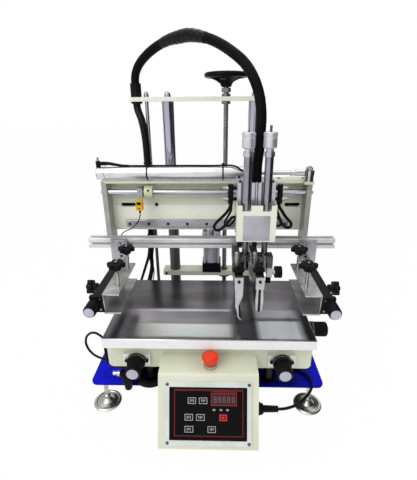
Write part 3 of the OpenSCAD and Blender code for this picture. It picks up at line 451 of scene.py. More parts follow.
def outline(shape, x0, x1, y0, y1, line, thick=INK_T):
    """Adds a printed frame: four strips round an open middle."""
    for strip in ((x0, x1, y0, y0 + line), (x0, x1, y1 - line, y1),
                  (x0, x0 + line, y0 + line, y1 - line), (x1 - line, x1, y0 + line, y1 - line)):
        patch(shape, *strip, thick)


def printed(name, shape, material):
    return settle(name, shape, material, "base", on_face)


border = bmesh.new()
outline(border, -78.5, 80.8, 9, 118, 2.2)
patch(border, -78.5, 80.8, 114.0, 115.9)
printed("panel_border", border, ink("dark_red", (112, 26, 28), (92, 20, 22), 0.3))

display = bmesh.new()
slab(display, (7.5, WINDOW_LOW + 81.5, FILM_TOP - 0.1), (64.5, WINDOW_LOW + 108, FILM_TOP + 0.35), 0.1)
printed("display_window", display, ink("display_glass", (58, 26, 32), (48, 20, 26), 0.16))
surround = bmesh.new()
outline(surround, 6.4, 65.6, 80.4, 109.2, 2.0, 0.45)
patch(surround, 6.4, 65.6, 111.4, 113)
printed("display_surround", surround, ink("frame_red", (150, 44, 44), (128, 36, 38), 0.3))

DIGIT_PITCH, DIGIT_WIDE, DIGIT_TALL, BAR, DIGIT_FOOT = 10.2, 6.4, 14.8, 1.5, 87.2
digits = bmesh.new()
for number in range(5):
    left = 13.2 + number * DIGIT_PITCH
    for y in (DIGIT_FOOT, DIGIT_FOOT + DIGIT_TALL / 2 - BAR / 2, DIGIT_FOOT + DIGIT_TALL - BAR):
        patch(digits, left + BAR * 0.8, left + DIGIT_WIDE - BAR * 0.8, y, y + BAR, 0.47, 0)
    for x in (left, left + DIGIT_WIDE - BAR):
        for y in (DIGIT_FOOT + BAR * 0.8, DIGIT_FOOT + DIGIT_TALL / 2 + BAR * 0.2):
            patch(digits, x, x + BAR, y, y + DIGIT_TALL / 2 - BAR, 0.47, 0)
printed("display_digits", digits, ink("digit_ink", (128, 96, 102), (112, 84, 90), 0.3))

KEYS = [(-46.8, -28, 84.2, 98.8), (-21.3, -2, 84.2, 98.8), (-54, -34.7, 45.6, 60.7),
        (-27.5, -7.9, 45.6, 60.7), (-54, -34.2, 18.2, 33.2), (-1.1, 17.7, 18.2, 33.2)]
SIGN_HALF, STROKE_PITCH, STROKE_WIDE = 3.2, 3.6, 1.9
keys = bmesh.new()
for number, (x0, x1, y0, y1) in enumerate(KEYS):
    outline(keys, x0, x1, y0, y1, 1.5, 0.25)
    middle = (y0 + y1) / 2
    for stroke in range(3):
        x = x0 + 5 + stroke * STROKE_PITCH
        drop = (number + stroke) % 2 * 1.6
        patch(keys, x, x + STROKE_WIDE, middle - SIGN_HALF + drop, middle + SIGN_HALF)
for lamp_x in (10.5, 26.5, 41.5):
    patch(keys, lamp_x, lamp_x + 6, 69, 72.6)
printed("panel_keys", keys, ink("pale_ink", (176, 172, 176), (156, 152, 156), 0.3))
red_key = bmesh.new()
outline(red_key, 25.7, 43.6, 45.6, 60.7, 3.2, 0.25)
patch(red_key, 31, 38.2, 50.4, 56)
printed("panel_red_key", red_key, ink("warm_red", (196, 58, 60), (172, 46, 50), 0.3))


# Screws: black or zinc cap screws with hexagon sockets, one tree for all of them. Each stands
# on its point with its head outwards, and its shank isn't seen.
FRONT, RIGHT, UP = (0, -1, 0), (1, 0, 0), (0, 0, 1)


def new_tree(name, **sizes):
    """A geometry tree with a named input for each size, and its input and output nodes."""
    tree = bpy.data.node_groups.new(name, "GeometryNodeTree")
    tree.interface.new_socket("Points", in_out="INPUT", socket_type="NodeSocketGeometry")
    for size, value in {**sizes, "Finish": None}.items():
        kind = {int: "NodeSocketInt", float: "NodeSocketFloat"}.get(type(value), "NodeSocketMaterial")
        socket = tree.interface.new_socket(size, in_out="INPUT", socket_type=kind)
        if value is not None:
            socket.default_value = value
    tree.interface.new_socket("Shape", in_out="OUTPUT", socket_type="NodeSocketGeometry")
    return tree, tree.nodes.new("NodeGroupInput").outputs, tree.nodes.new("NodeGroupOutput").inputs


def close(tree, shape, given, result):
    """Makes the shape a real mesh in its finish, as the tree's result."""
    real = add(tree, "GeometryNodeRealizeInstances", {0: shape})
    done = add(tree, "GeometryNodeSetMaterial", {"Geometry": real.outputs[0], "Material": given["Finish"]})
    tree.links.new(done.outputs[0], result[0])


def grow(name, tree, material, body, slot, place=None, points=((0, 0, 0),), out=UP, **sizes):
    """Runs a tree on points that face one way, and keeps the result as a plain piece."""
    seed = bpy.data.meshes.new(name)
    seed.from_pydata([Vector(p) * MM for p in points], [], [])
    for entry in seed.attributes.new("out", "FLOAT_VECTOR", "POINT").data:
        entry.vector = out
    made = put(name, seed)
    modifier = made.modifiers.new("grow", "NODES")
    modifier.node_group = tree
    for socket in tree.interface.items_tree:
        if socket.in_out == "INPUT" and socket.name in sizes:
            modifier[socket.identifier] = sizes[socket.name]
        elif socket.in_out == "INPUT" and socket.name == "Finish":
            modifier[socket.identifier] = material
    bpy.context.view_layer.update()
    plain = bpy.data.meshes.new_from_object(made.evaluated_get(bpy.context.evaluated_depsgraph_get()))
    made.modifiers.clear()
    made.data = plain
    if place:
        plain.transform(place)
    plain.shade_smooth()
    plain.set_sharp_from_angle(angle=math.radians(35))
    return mount(made, body)


def raised(tree, shape, height, share):
    """The shape lifted by a share of the height."""
    lift = add(tree, "ShaderNodeCombineXYZ", {2: sum_of(tree, "MULTIPLY", height, share)})
    return add(tree, "GeometryNodeTransform", {"Geometry": shape, "Translation": lift.outputs[0]}).outputs[0]


screw_tree, given, result = new_tree("cap_screws", Radius=0.003, Height=0.002, Socket=0.0015)
head, recess = (add(screw_tree, "GeometryNodeMeshCylinder", {
    "Vertices": corners, "Radius": given[size], "Depth": given["Height"]}).outputs["Mesh"]
    for corners, size in ((20, "Radius"), (6, "Socket")))
drilled = add(screw_tree, "GeometryNodeMeshBoolean", {
    0: head, 1: raised(screw_tree, recess, given["Height"], 0.55)}, operation="DIFFERENCE")
direction = add(screw_tree, "GeometryNodeInputNamedAttribute", {"Name": "out"}, data_type="FLOAT_VECTOR")
turned = add(screw_tree, "FunctionNodeAlignRotationToVector", {"Vector": direction.outputs[0]}, axis="Z")
placed = add(screw_tree, "GeometryNodeInstanceOnPoints", {
    "Points": given["Points"], "Rotation": turned.outputs[0],
    "Instance": raised(screw_tree, drilled.outputs[0], given["Height"], 0.5)})
close(screw_tree, placed.outputs[0], given, result)


def screws(name, spots, out, radius, height, material, body, slot="chrome"):
    """Cap screws at the spots, all facing one way."""
    return grow(name, screw_tree, material, body, slot, points=spots, out=Vector(out).normalized(),
                Radius=radius * MM, Height=height * MM, Socket=radius * 0.55 * MM)


dark_screw = bright("dark_screw", (112, 112, 108), (84, 84, 80), 0.3)
bezel_spots = [on_face @ (Vector((x, y, 2.6)) * MM) * 1000 for x in (-94, 94) for y in (15.5, 150.5)]
screws("bezel_screws", bezel_spots, on_face.to_3x3() @ Vector(UP), 3.8, 1.3, dark_screw, "base")
screws("bearing_screws", [(x, -196.8, 190) for x in (-206, -154, 154, 206)], FRONT, 3.6, 6, black_oxide,
       "base")
screws("side_bearing_screws", [(264.8, y, 212) for y in (-127, -91)], RIGHT, 3.2, 3, zinc, "base")


# Emergency stop: moulded red mushroom head over a pale collar. The head presses down 4 mm.
red_plastic = Finish("red_plastic", Coat_Weight=0.06, Coat_Roughness=0.2, Specular_IOR_Level=0.2)
red_plastic.set("Base Color", red_plastic.mix(red_plastic.noise(60), (230, 64, 26), (210, 54, 20)))
red_plastic.rough(red_plastic.noise(300), 0.30, 0.42)
red_plastic.relief(red_plastic.noise(1200, 2), 0.000008)
dress("estop_button", red_plastic.material)
collar_grey = bright("collar_grey", (186, 172, 146), (160, 148, 124), 0.40, metallic=0.2)
dress("estop_collar", collar_grey, eased=0.5)


# Knobs: black turned grips with a fine straight knurl, a graduated ring at the root and an
# aluminium cap let into the end. The front pair moves the table in Y, the side one in X.
def moulded(name, colour, deeper, gloss, grain=1400, depth=0.00001, shine=0.06, bare=None, metal=None):
    """Moulded or rubbery black: fine grain and a little unevenness in the shine. Bare finds where
    metal shows instead."""
    resin = Finish(name, Specular_IOR_Level=shine)
    base = resin.clouded(resin.noise(30, 4), colour, deeper)
    if bare:
        share = bare(resin, *resin.axes())
        base = resin.mix(share, base, metal)
        resin.set("Metallic", resin.times(share, 0.8))
    resin.set("Base Color", base)
    resin.rough(resin.noise(150, 4), gloss, gloss + 0.16)
    resin.relief(resin.noise(grain, 2), depth)
    return resin.material


black_resin = moulded("black_resin", (26, 25, 27), (17, 16, 18), 0.34)
cap_metal = bright("cap_metal", (196, 196, 212), (176, 176, 192), 0.32, metallic=0.55)
bearing_metal = bright("bearing_metal", (234, 235, 231), (214, 215, 211), 0.34, (3, 40, 40), metallic=0.6)
dress("knob_bearings", bearing_metal, eased=0.6)
FRONT_ROOT, SIDE_ROOT = -197.3, 265.3
for side in ("left", "right"):
    dress(f"front_knob_{side}", black_resin, (cap_metal, lambda x, y, z: y < FRONT_ROOT - 49.4))
dress("side_knob", black_resin, (cap_metal, lambda x, y, z: x > SIDE_ROOT + 45.4))

ring_tree, given, result = new_tree("ring_marks", Count=40, Radius=0.02, Length=0.004, Width=0.0005,
                                    Proud=0.0003)
circle = add(ring_tree, "GeometryNodeMeshCircle", {"Vertices": given["Count"], "Radius": given["Radius"]})
mark_size = add(ring_tree, "ShaderNodeCombineXYZ", {0: given["Proud"], 1: given["Width"], 2: given["Length"]})
mark = add(ring_tree, "GeometryNodeMeshCube", {"Size": mark_size.outputs[0]})
outward = add(ring_tree, "FunctionNodeAlignRotationToVector", {
    "Vector": add(ring_tree, "GeometryNodeInputPosition").outputs[0]}, axis="X")
placed = add(ring_tree, "GeometryNodeInstanceOnPoints", {
    "Points": circle.outputs[0], "Instance": mark.outputs[0], "Rotation": outward.outputs[0]})
close(ring_tree, placed.outputs[0], given, result)

mark_white = ink("mark_white", (190, 190, 190), (160, 160, 160), 0.4)
TO_FRONT, TO_RIGHT, TO_LEFT = (
    Matrix.Rotation(math.radians(angle), 4, axis) for angle, axis in ((90, "X"), (90, "Y"), (-90, "Y")))
for name, root, radius, grip in (
    ("left", at(-180, FRONT_ROOT, 190) @ TO_FRONT, 0.023, 36),
    ("right", at(180, FRONT_ROOT, 190) @ TO_FRONT, 0.023, 36),
    ("side", at(SIDE_ROOT, -109, 223.5) @ TO_RIGHT, 0.020, 32),
):
    grow(f"{name}_knob_scale", ring_tree, mark_white, f"knob_{name}", "black_plastic", root @ at(0, 0, 7.5),
         Count=50, Radius=radius, Length=0.005, Width=0.0005, Proud=0.0002)
    grow(f"{name}_knob_knurl", ring_tree, black_resin, f"knob_{name}", "black_plastic",
         root @ at(0, 0, 14.5 + (grip - 3) / 2), Count=60, Radius=0.019, Length=(grip - 5) * MM,
         Width=0.0009, Proud=0.0007)


# Cross slide and work table: the slide is ground steel on the bed's dovetail. The table is a
# 26 mm plate with bright milled edges, surface ground from side to side and oiled. Its top has
# painted reflections: near-white bands where it mirrors the lit beam, broken by a darker strip
# where it mirrors the head, and lighter and darker stretches front and back. Painted shade
# darkens it towards its ends.
dress("cross_slide", way_steel)
ground = Finish("ground_table", 1.0)
lines = ground.noise(60, 4, ground.stretched(1.2, 46, 46))
clouds = ground.spread(ground.noise(7, 5, ground.stretched(0.6, 2.4, 1)), 0.36, 0.66)
sideways, backwards, _ = ground.axes()
wavy = ground.math("ADD", backwards, ground.times(ground.noise(4, 3), 0.008))


# Painted reflection: bands of the top painted near white where it mirrors the lit beam, less where it mirrors
# the head, fading at the ends.
def reflection_band(low, high, soft=0.003):
    return ground.times(ground.spread(wavy, low - soft, low + soft),
                        ground.spread(wavy, high - soft, high + soft, 1, 0))


on_left = ground.math("MAXIMUM", reflection_band(-0.202, -0.151), reflection_band(-0.094, -0.084))
on_right = ground.math("MAXIMUM", reflection_band(-0.207, -0.136),
                       ground.times(reflection_band(-0.122, -0.086, 0.004), 0.62))
painted_reflection = ground.mix(ground.spread(sideways, 0.100, 0.108), on_left, on_right)
from_ends = ground.times(ground.spread(sideways, -0.20, -0.11), ground.spread(sideways, 0.215, 0.235, 1, 0))
from_strip = ground.math("ABSOLUTE", ground.math("ADD", sideways, -0.088))
head_reflection_strip = ground.spread(from_strip, 0.026, 0.04, 0.85, 0)
painted_reflection = ground.times(ground.times(painted_reflection, from_ends), ground.math("SUBTRACT", 1.0, head_reflection_strip))
# Painted reflection: a lighter stretch at the back of the left half, and tones set apart in front of and
# behind the thin band.
lighter = ground.times(ground.spread(wavy, -0.080, -0.030, 1, 0),
                       ground.spread(sideways, -0.13, 0.0, 0, 0.75))
far_face = ground.mix(lighter, ground.mix(clouds, (134, 130, 135), (98, 94, 99)), (196, 192, 198))
near_face = ground.mix(clouds, (174, 170, 176), (150, 146, 152))
face = ground.mix(ground.spread(wavy, -0.088, -0.078, 1, 0), far_face, near_face)
# Painted shade: the top darkens towards its left and right ends.
face = ground.mix(ground.spread(ground.math("ABSOLUTE", sideways), 0.185, 0.245, 0, 0.7), face, (84, 81, 85))
face = ground.mix(painted_reflection, face, (244, 248, 255))
milled = ground.mix(ground.noise(30, 3), (246, 245, 246), (230, 230, 232))
normal = add(ground.tree, "ShaderNodeNewGeometry").outputs["Normal"]
top_share = ground.spread(add(ground.tree, "ShaderNodeSeparateXYZ", {0: normal}).outputs[2], 0.2, 0.6)
ground.set("Base Color", ground.mix(top_share, milled, face))
# Where the reflection bands are painted, the top is also made less metallic.
ground.set("Metallic", ground.math("SUBTRACT", ground.spread(top_share, 0, 1, 0.05, 1.0), ground.times(
    ground.times(painted_reflection, top_share), ground.spread(sideways, 0.100, 0.108, 0.25, 0.40))))
ground.set("Roughness", ground.math("ADD", ground.spread(lines, 0.3, 0.7, 0.15, 0.27),
                                    ground.spread(top_share, 0, 1, 0.30, 0.0)))
ground.relief(lines, 0.000012)
dress("work_table", ground.material, (way_steel, lambda x, y, z: z < 241.9))


# Columns: 36 mm hardened and chromed shafts, painted darker and duller on their lower half as
# painted shade below the beam, clamped in the cast column base and drawn together by the top
# plate and domed nuts. The thinner rod on the left limits the beam's lift.
COLUMN_X, COLUMN_Y = 131, 233
chrome = bright("chrome", (204, 203, 216), (192, 191, 204), 0.12, (30, 30, 1.5), 0.000002)
shaft = Finish("column_chrome", 1.0)
height = shaft.math("ADD", shaft.axes()[2], shaft.times(shaft.noise(14, 4), 0.05))
# Painted shade: below the beam the chrome is painted darker, rougher and less metallic.
painted_shade_low = shaft.spread(height, 0.52, 0.64, 1, 0)
shaft.set("Base Color", shaft.mix(painted_shade_low, (182, 181, 196), (92, 92, 95)))
shaft.set("Metallic", shaft.spread(painted_shade_low, 0, 1, 1.0, 0.55))
polish = shaft.noise(90, 3, shaft.stretched(30, 30, 1.5))
shaft.set("Roughness", shaft.math("ADD", shaft.spread(polish, 0.3, 0.7, 0.12, 0.2), shaft.times(painted_shade_low, 0.2)))
shaft.relief(polish, 0.000002)
dress("columns", shaft.material)
dress("column_base", cream, eased=0.8)
screws("column_base_screws", [(x, COLUMN_Y, 126) for x in (-80, 0, 80)], UP, 8, 9, black_oxide, "base")
top_cream = paint("top_cream", (232, 233, 220), (222, 224, 206), (186, 188, 176), 0.34)
dress("top_plate", top_cream, eased=0.8)


def skin(shape, rings):
    """Joins each ring of corners to the next; a ring of one corner is a closed pole."""
    for below, above in zip(rings, rings[1:]):
        count = max(len(below), len(above))
        for k in range(count):
            n = (k + 1) % count
            corners = [ring[i % len(ring)] for ring, i in ((below, k), (below, n), (above, n), (above, k))]
            shape.faces.new(list(dict.fromkeys(corners)))


def lathe(shape, profile, sides=40):
    """Adds a turned form about Z from (radius, height) pairs, with closed poles."""
    rings = []
    for radius, height in profile:
        turns = [math.tau * k / sides for k in range(sides if radius else 1)]
        rings.append([shape.verts.new((radius * MM * math.cos(a), radius * MM * math.sin(a), height * MM))
                      for a in turns])
    skin(shape, rings)
    return shape


for name, x, r in (("left", -COLUMN_X, 8.4), ("right", COLUMN_X, 8.4), ("stop_rod", -195, 6.4)):
    dome = lathe(bmesh.new(), [(0, 0), (r * 1.1, 0), (r * 1.1, 1.4), (r, 1.5), (r, 8.5), (r * 0.93, 11),
                               (r * 0.72, 14), (r * 0.4, 16), (0, 16.8)])
    settle(f"domed_nut_{name}", dome, nickel, "base", at(x, COLUMN_Y, 804.05), 50)


# Handwheel: cast iron, three arms dished down to the hub, stove enamelled black and handled
# to a shine. It is pinned to the top of the lead screw.
dress("handwheel", moulded("enamel", (20, 19, 20), (12, 12, 13), 0.16, 500, 0.00002))


# Lead screw: turned steel with a 16 by 5 mm trapezoidal thread, held in the top plate by two
# collars, with the hexagon that locks the wheel. The thread runs down through the bronze nut.
SCREW_X, PITCH, THREAD_LOW, THREAD_LONG = 45, 5, 126, 650
screw_steel = bright("screw_steel", (150, 154, 154), (122, 126, 127), 0.26)
core = lathe(bmesh.new(), [
    (0, 121), (6, 121), (6.8, 122), (6.8, 783), (12.5, 783), (13.5, 784), (13.5, 790.7), (12.5, 791.7),
    (8, 791.7), (8, 804.3), (12.5, 804.3), (13.5, 805.3), (13.5, 811), (12.5, 812), (8, 812), (8, 848),
    (0, 848),
])
lathe(core, [(0, 816), (12.6, 816), (13.8, 817), (13.8, 827), (12.6, 828), (0, 828)], 6)
core = settle("lead_screw_core", core, screw_steel, "wheel", at(SCREW_X, COLUMN_Y))
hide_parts("lead_screw")

thread_tree, given, result = new_tree("thread", Turns=100.0, Radius=0.0074, Length=0.5, Ridge=0.001)
helix = add(thread_tree, "GeometryNodeCurveSpiral", {
    "Resolution": 18, "Rotations": given["Turns"], "Start Radius": given["Radius"],
    "End Radius": given["Radius"], "Height": given["Length"]})
ridge = add(thread_tree, "GeometryNodeCurvePrimitiveCircle", {"Resolution": 4, "Radius": given["Ridge"]})
swept = add(thread_tree, "GeometryNodeCurveToMesh", {0: helix.outputs[0], 1: ridge.outputs[0]})
close(thread_tree, swept.outputs[0], given, result)
grow("lead_screw_thread", thread_tree, screw_steel, "wheel", "ground_steel",
     at(SCREW_X, COLUMN_Y, THREAD_LOW), Turns=THREAD_LONG / PITCH, Radius=0.0071, Length=THREAD_LONG * MM,
     Ridge=0.00105)


# Lift carrier: coated plate on the columns with the bronze nut, and the square air cylinder
# that raises the whole beam. Its lower block is black, the barrel dull aluminium.
alloy = bright("alloy", (192, 192, 196), (164, 165, 169), 0.30)
dull_alloy = bright("dull_alloy", (216, 217, 221), (190, 191, 196), 0.36, (30, 30, 2), metallic=0.8)
bronze = bright("bronze", (132, 118, 94), (104, 92, 72), 0.36)
black_block = moulded("black_block", (20, 23, 30), (13, 15, 20), 0.30, 900, 0.000008)
dress("lift_plate", cream, eased=0.8)
dress("lead_nut", bronze)
dress("lift_cylinder", dull_alloy, (black_block, lambda x, y, z: z < 266.01),
      (alloy, lambda x, y, z: z > 339.99), eased=0.5)
dress("lift_rod", chrome)
screws("lift_plate_front_screws", [(x, 208.2, 225) for x in (-160, 160)], FRONT, 4, 3.5, black_oxide,
       "lift_carrier")
screws("lift_plate_under_screws", [(x, COLUMN_Y, 217.2) for x in (-75, -20, 20)], (0, 0, -1), 5, 6,
       black_oxide, "lift_carrier")


# Beam: welded 12 mm channel on a cast slide block, coated cream; its web is painted lighter than the cream,
# and nearly white on its lower part, as painted light.
# Black clamp bars close the adjusting slots from behind, and cap screws hold the block to the web.
dress("slide_block", cream, eased=0.8)
cheek_grey = bright("cheek_grey", (178, 179, 171), (156, 157, 150), 0.42, (3, 3, 40), metallic=0.25)
# Painted light: the web's cream is lighter than the bed's, and nearly white below 494 mm.
web_cream_painted_light = paint("web_cream_painted_light", (234, 236, 216), (226, 229, 206), (178, 180, 168), 0.34,
                  local=lambda coat, x, y, z: coat.spread(z, 0.4930, 0.4950, 1, 0), tint=(251, 252, 236))
dress("beam_frame", web_cream_painted_light, (cheek_grey, lambda x, y, z: abs(x + 13) > 290.9 and z < 573), eased=0.6)
bars = bmesh.new()
for x0, x1 in ((-284, -228), (-178, -160), (221, 277)):
    slab(bars, (x0, 155.05, 484), (x1, 158.4, 506), 0.5)
settle("slot_clamp_bars", bars, black_block, "beam")
screws("web_screws", [(x, 142.8, z) for x in (-120, -40, 40) for z in (466, 512)], FRONT, 5, 2.4, web_cream_painted_light,
       "beam", "cream_paint")
screws("flange_screws", [(x, 128, 578.8) for x in (-270, -150, 200, 270)], UP, 5, 3, zinc, "beam")


# Guides: a chromed rod bolted between the beam's cheeks, a ground profile rail on the web with
# a black screw every 60 mm, and the slotted aluminium extrusion that carries the clamps.
dress("guide_rod", chrome)
dress("linear_rail", bright("rail_steel", (172, 170, 180), (150, 148, 157), 0.22, (2, 60, 60)))
screws("rail_screws", [(x - 13, 135, 438) for x in range(-240, 241, 60)], FRONT, 4.3, 7, black_oxide, "beam")
extrusion = bright("extrusion", (232, 231, 233), (212, 211, 214), 0.30, (1.2, 70, 70), 0.000008, metallic=0.7)
dress("clamp_rail", extrusion)


# End stop: split collar on the guide rod, a folded clip and the yellow sensor with its lamp
# and cable gland.
stop_paint = paint("stop_paint", (204, 212, 172), (190, 200, 156), (160, 168, 140), 0.36)
yellow = ink("sensor_yellow", (232, 186, 30), (214, 166, 24), 0.34)
dress("end_stop", stop_paint, (alloy, lambda x, y, z: x < -198.9),
      (yellow, lambda x, y, z: x < -197.9 and y < 93.02 and z < 527.1), eased=0.4)
gland = lathe(bmesh.new(), [(0, 0), (2.6, 0), (3.4, 1), (3.4, 6), (4.2, 6.5), (4.2, 9.5), (0, 9.5)], 20)
settle("sensor_gland", gland, black_resin, "beam", at(-207.5, 84, 487))
window = slab(bmesh.new(), (-213.5, 74.2, 513), (-201.5, 75.2, 521), 0.3)
slab(window, (-210, 74.3, 501), (-205, 75.2, 504), 0.2)
settle("sensor_window", window, black_resin, "beam")
screws("collar_screws", [(-182, 93.5, 551)], (0, -1, 0.35), 3, 2.5, black_oxide, "beam")
screws("clip_screws", [(-207, 93.2, z) for z in (548, 538)], FRONT, 2.8, 2, zinc, "beam")


# Stroke cylinder: long anodised barrel with rolled ends, clamped in the saddle, and a black
# elbow at the left. Its chromed rod is pinned by an eye to a post on the beam. Cable ties hold
# the thin hose along its top.
BARREL_Y, BARREL_Z, BARREL_R = 94, 602, 18.05
TIE_WIDE, TIE_T = 4, 1.0
barrel = bright("barrel", (226, 227, 230), (210, 211, 215), 0.22, (1.5, 50, 50), 0.000003)
dress("stroke_cylinder", barrel, (black_resin, lambda x, y, z: x < -295.9 and z > 620.5),
      (nickel, lambda x, y, z: x < -300 and z > 636.1))


def post(x, y, z):
    return z < 579.05 and y < 98.1 and abs(x - 278) > 13.1 or z < 578.9


rod_chrome = bright("rod_chrome", (206, 207, 206), (190, 191, 190), 0.16, (1.5, 30, 30), 0.000002)
dress("stroke_rod", rod_chrome, (cream, post))


def hull(*circles):
    """The outline of a tight strap round these circles, given as (across, up, radius)."""
    line = []
    for step in range(72):
        a = math.tau * step / 72
        out = Vector((math.cos(a), math.sin(a)))
        reach = max(circles, key=lambda c: c[0] * out.x + c[1] * out.y + c[2])
        line.append(Vector(reach[:2]) + out * reach[2])
    return line


def strap(name, x, circles, body):
    """A cable tie in the YZ plane round the circles, with its lock and the cut end."""
    inner = hull(*circles)
    outer = hull(*[(a, b, r + TIE_T) for a, b, r in circles])
    shape = bmesh.new()
    loops = [[shape.verts.new(Vector((x + s * TIE_WIDE / 2, p.x, p.y)) * MM) for p in line]
             for line, s in ((inner, -1), (outer, -1), (outer, 1), (inner, 1))]
    skin(shape, loops + loops[:1])
    top = max(outer, key=lambda p: p.y)
    lock, tail = TIE_WIDE * 0.8, TIE_WIDE * 0.35
    slab(shape, (x - lock, top.x - 3, top.y - 1), (x + lock, top.x + 2, top.y + 3), 0.4)
    slab(shape, (x - tail, top.x + 1, top.y + 0.6), (x + tail, top.x + 7, top.y + 1.6), 0.2)
    return settle(name, shape, tie_black, body)


def join(shape, other, place):
    """Adds another form to the shape, at its place."""
    bmesh.ops.transform(other, matrix=place, verts=other.verts)
    held = bpy.data.meshes.new("held")
    other.to_mesh(held)
    other.free()
    shape.from_mesh(held)
    bpy.data.meshes.remove(held)
    return shape


tie_black = moulded("tie_black", (22, 22, 24), (15, 15, 17), 0.36, 2200, 0.000006)
for name, x in (("left", -178.9), ("right", 35.2)):
    strap(f"barrel_tie_{name}", x, [(BARREL_Y, BARREL_Z, BARREL_R), (93, 622.8, 2.6)], "carriage")
marks = bmesh.new()
for x in (-322.3, -300.5, 107.5):
    band = lathe(bmesh.new(), [(17.8, 0), (18.3, 0.3), (18.3, 1.5), (17.8, 1.8)], 56)
    join(marks, band, at(x, BARREL_Y, BARREL_Z) @ TO_RIGHT)
steel_dark = bright("steel_dark", (150, 150, 152), (120, 120, 124), 0.28)
settle("barrel_roll_marks", marks, steel_dark, "carriage")


# Print head: saddle plates on the rail, a ribbed twin cylinder body with two bright tubes, and
# the black flow valves at its sides with their silver push-in fittings. A notched sheet cover
# with a bare riveted plate closes the front.
HEAD_X, SHAFT_X, SHAFT_Y = 115, {"squeegee": 139.5, "flood": 90.5}, -72
dress("saddle", alloy, eased=0.6)
head_alloy = bright("head_alloy", (206, 206, 214), (184, 184, 193), 0.26, (40, 40, 2))
tube_chrome = bright("tube_chrome", (158, 158, 166), (142, 142, 150), 0.14, (30, 30, 1.5), 0.000002)


def in_tubes(x, y, z):
    return z > 478 and min(math.hypot(x - c, y - SHAFT_Y) for c in SHAFT_X.values()) < 10.3


def in_valves(x, y, z):
    return abs(x - HEAD_X) > 46.2 or z < 469.9


dress("print_head", head_alloy, (tube_chrome, in_tubes), (black_resin, in_valves),
      (nickel, lambda x, y, z: abs(x - HEAD_X) > 69.4 and 553 < z < 593))
dress("head_cover", top_cream, eased=0.5)
plate_grey = bright("plate_grey", (190, 189, 197), (176, 175, 184), 0.36, (2, 60, 60), metallic=0.6)
plate = slab(bmesh.new(), (82.6, -87.9, 467.5), (147.9, -86.9, 531.6), 0.3)
settle("bare_plate", plate, plate_grey, "carriage")
screws("plate_rivets", [(x, -87.8, z) for x in (86.2, 144.3) for z in (471.1, 528)], FRONT, 1.7, 0.9, zinc,
       "carriage")
for side, s in (("left", -1), ("right", 1)):
    screws(f"cover_screws_{side}", [(HEAD_X + s * 48.2, -50, z) for z in (480, 525)], (s, 0, 0), 3, 2, zinc,
           "carriage")
screws("head_top_screws", [(x, y, 605.8) for x in (76, 154) for y in (-48, 8)], UP, 4, 3.5, black_oxide,
       "carriage")
screws("saddle_screws", [(x, 19.8, z) for x in (84, 146) for z in (480, 500)], FRONT, 3.5, 3, black_oxide,
       "carriage")


# Lift shafts: 16 mm chromed rods, each with a stroke cap turned from aluminium on top. The
# right one has a longer threaded stud.
cap_alloy = bright("cap_alloy", (216, 217, 222), (200, 201, 207), 0.32, (30, 30, 2), metallic=0.75)
shaft_steel = bright("shaft_steel", (128, 127, 133), (96, 96, 101), 0.20, (30, 30, 1.5), 0.000003)
for name, x in SHAFT_X.items():
    dress(f"{name}_shaft", shaft_steel, (cap_alloy, lambda x, y, z: 681.2 < z < 724.2))
    grow(f"{name}_cap_knurl", ring_tree, cap_alloy, name, "chrome", at(x, SHAFT_Y, 719),
         Count=48, Radius=0.0154, Length=0.006, Width=0.0009, Proud=0.0006)


# Squeegee and flood bar: milled aluminium bars hung from steel yokes on the shafts' feet, the
# rubber blade between two plates, the bent spreading blade, and black knurled thumb nuts.
bar_alloy = Finish("bar_alloy", 1.0)
grain = bar_alloy.noise(90, 3, bar_alloy.stretched(40, 2, 40))
# Painted shade: behind their bright front ends the bars are painted a dark grey.
bar_alloy.set("Base Color", bar_alloy.mix(
    bar_alloy.spread(bar_alloy.axes()[1], -0.1690, -0.1655),
    bar_alloy.mix(bar_alloy.noise(60, 4), (222, 222, 225), (164, 164, 168)), (104, 104, 101)))
bar_alloy.rough(grain, 0.26, 0.40)
bar_alloy.relief(grain, 0.000005)
# Painted shade: the yoke steel is painted dark above 390 mm, where it stands in the head's shade, with a light
# tint below.
yoke_steel = bright("yoke_steel", (102, 102, 98), (74, 74, 71), 0.30,
                    local=lambda metal, x, y, z: metal.spread(z, 0.388, 0.394, 1, 0), tint=(190, 190, 186))


def in_nut(x, y, z):
    return z > 408.05 and -153 < y < -127


def in_yoke(x, y, z):
    return y > -88.5 and (z > 409 or x > 146)


def in_angle_knob(x, y, z):
    return x > 169.4 or x > 146.9 and z < 366


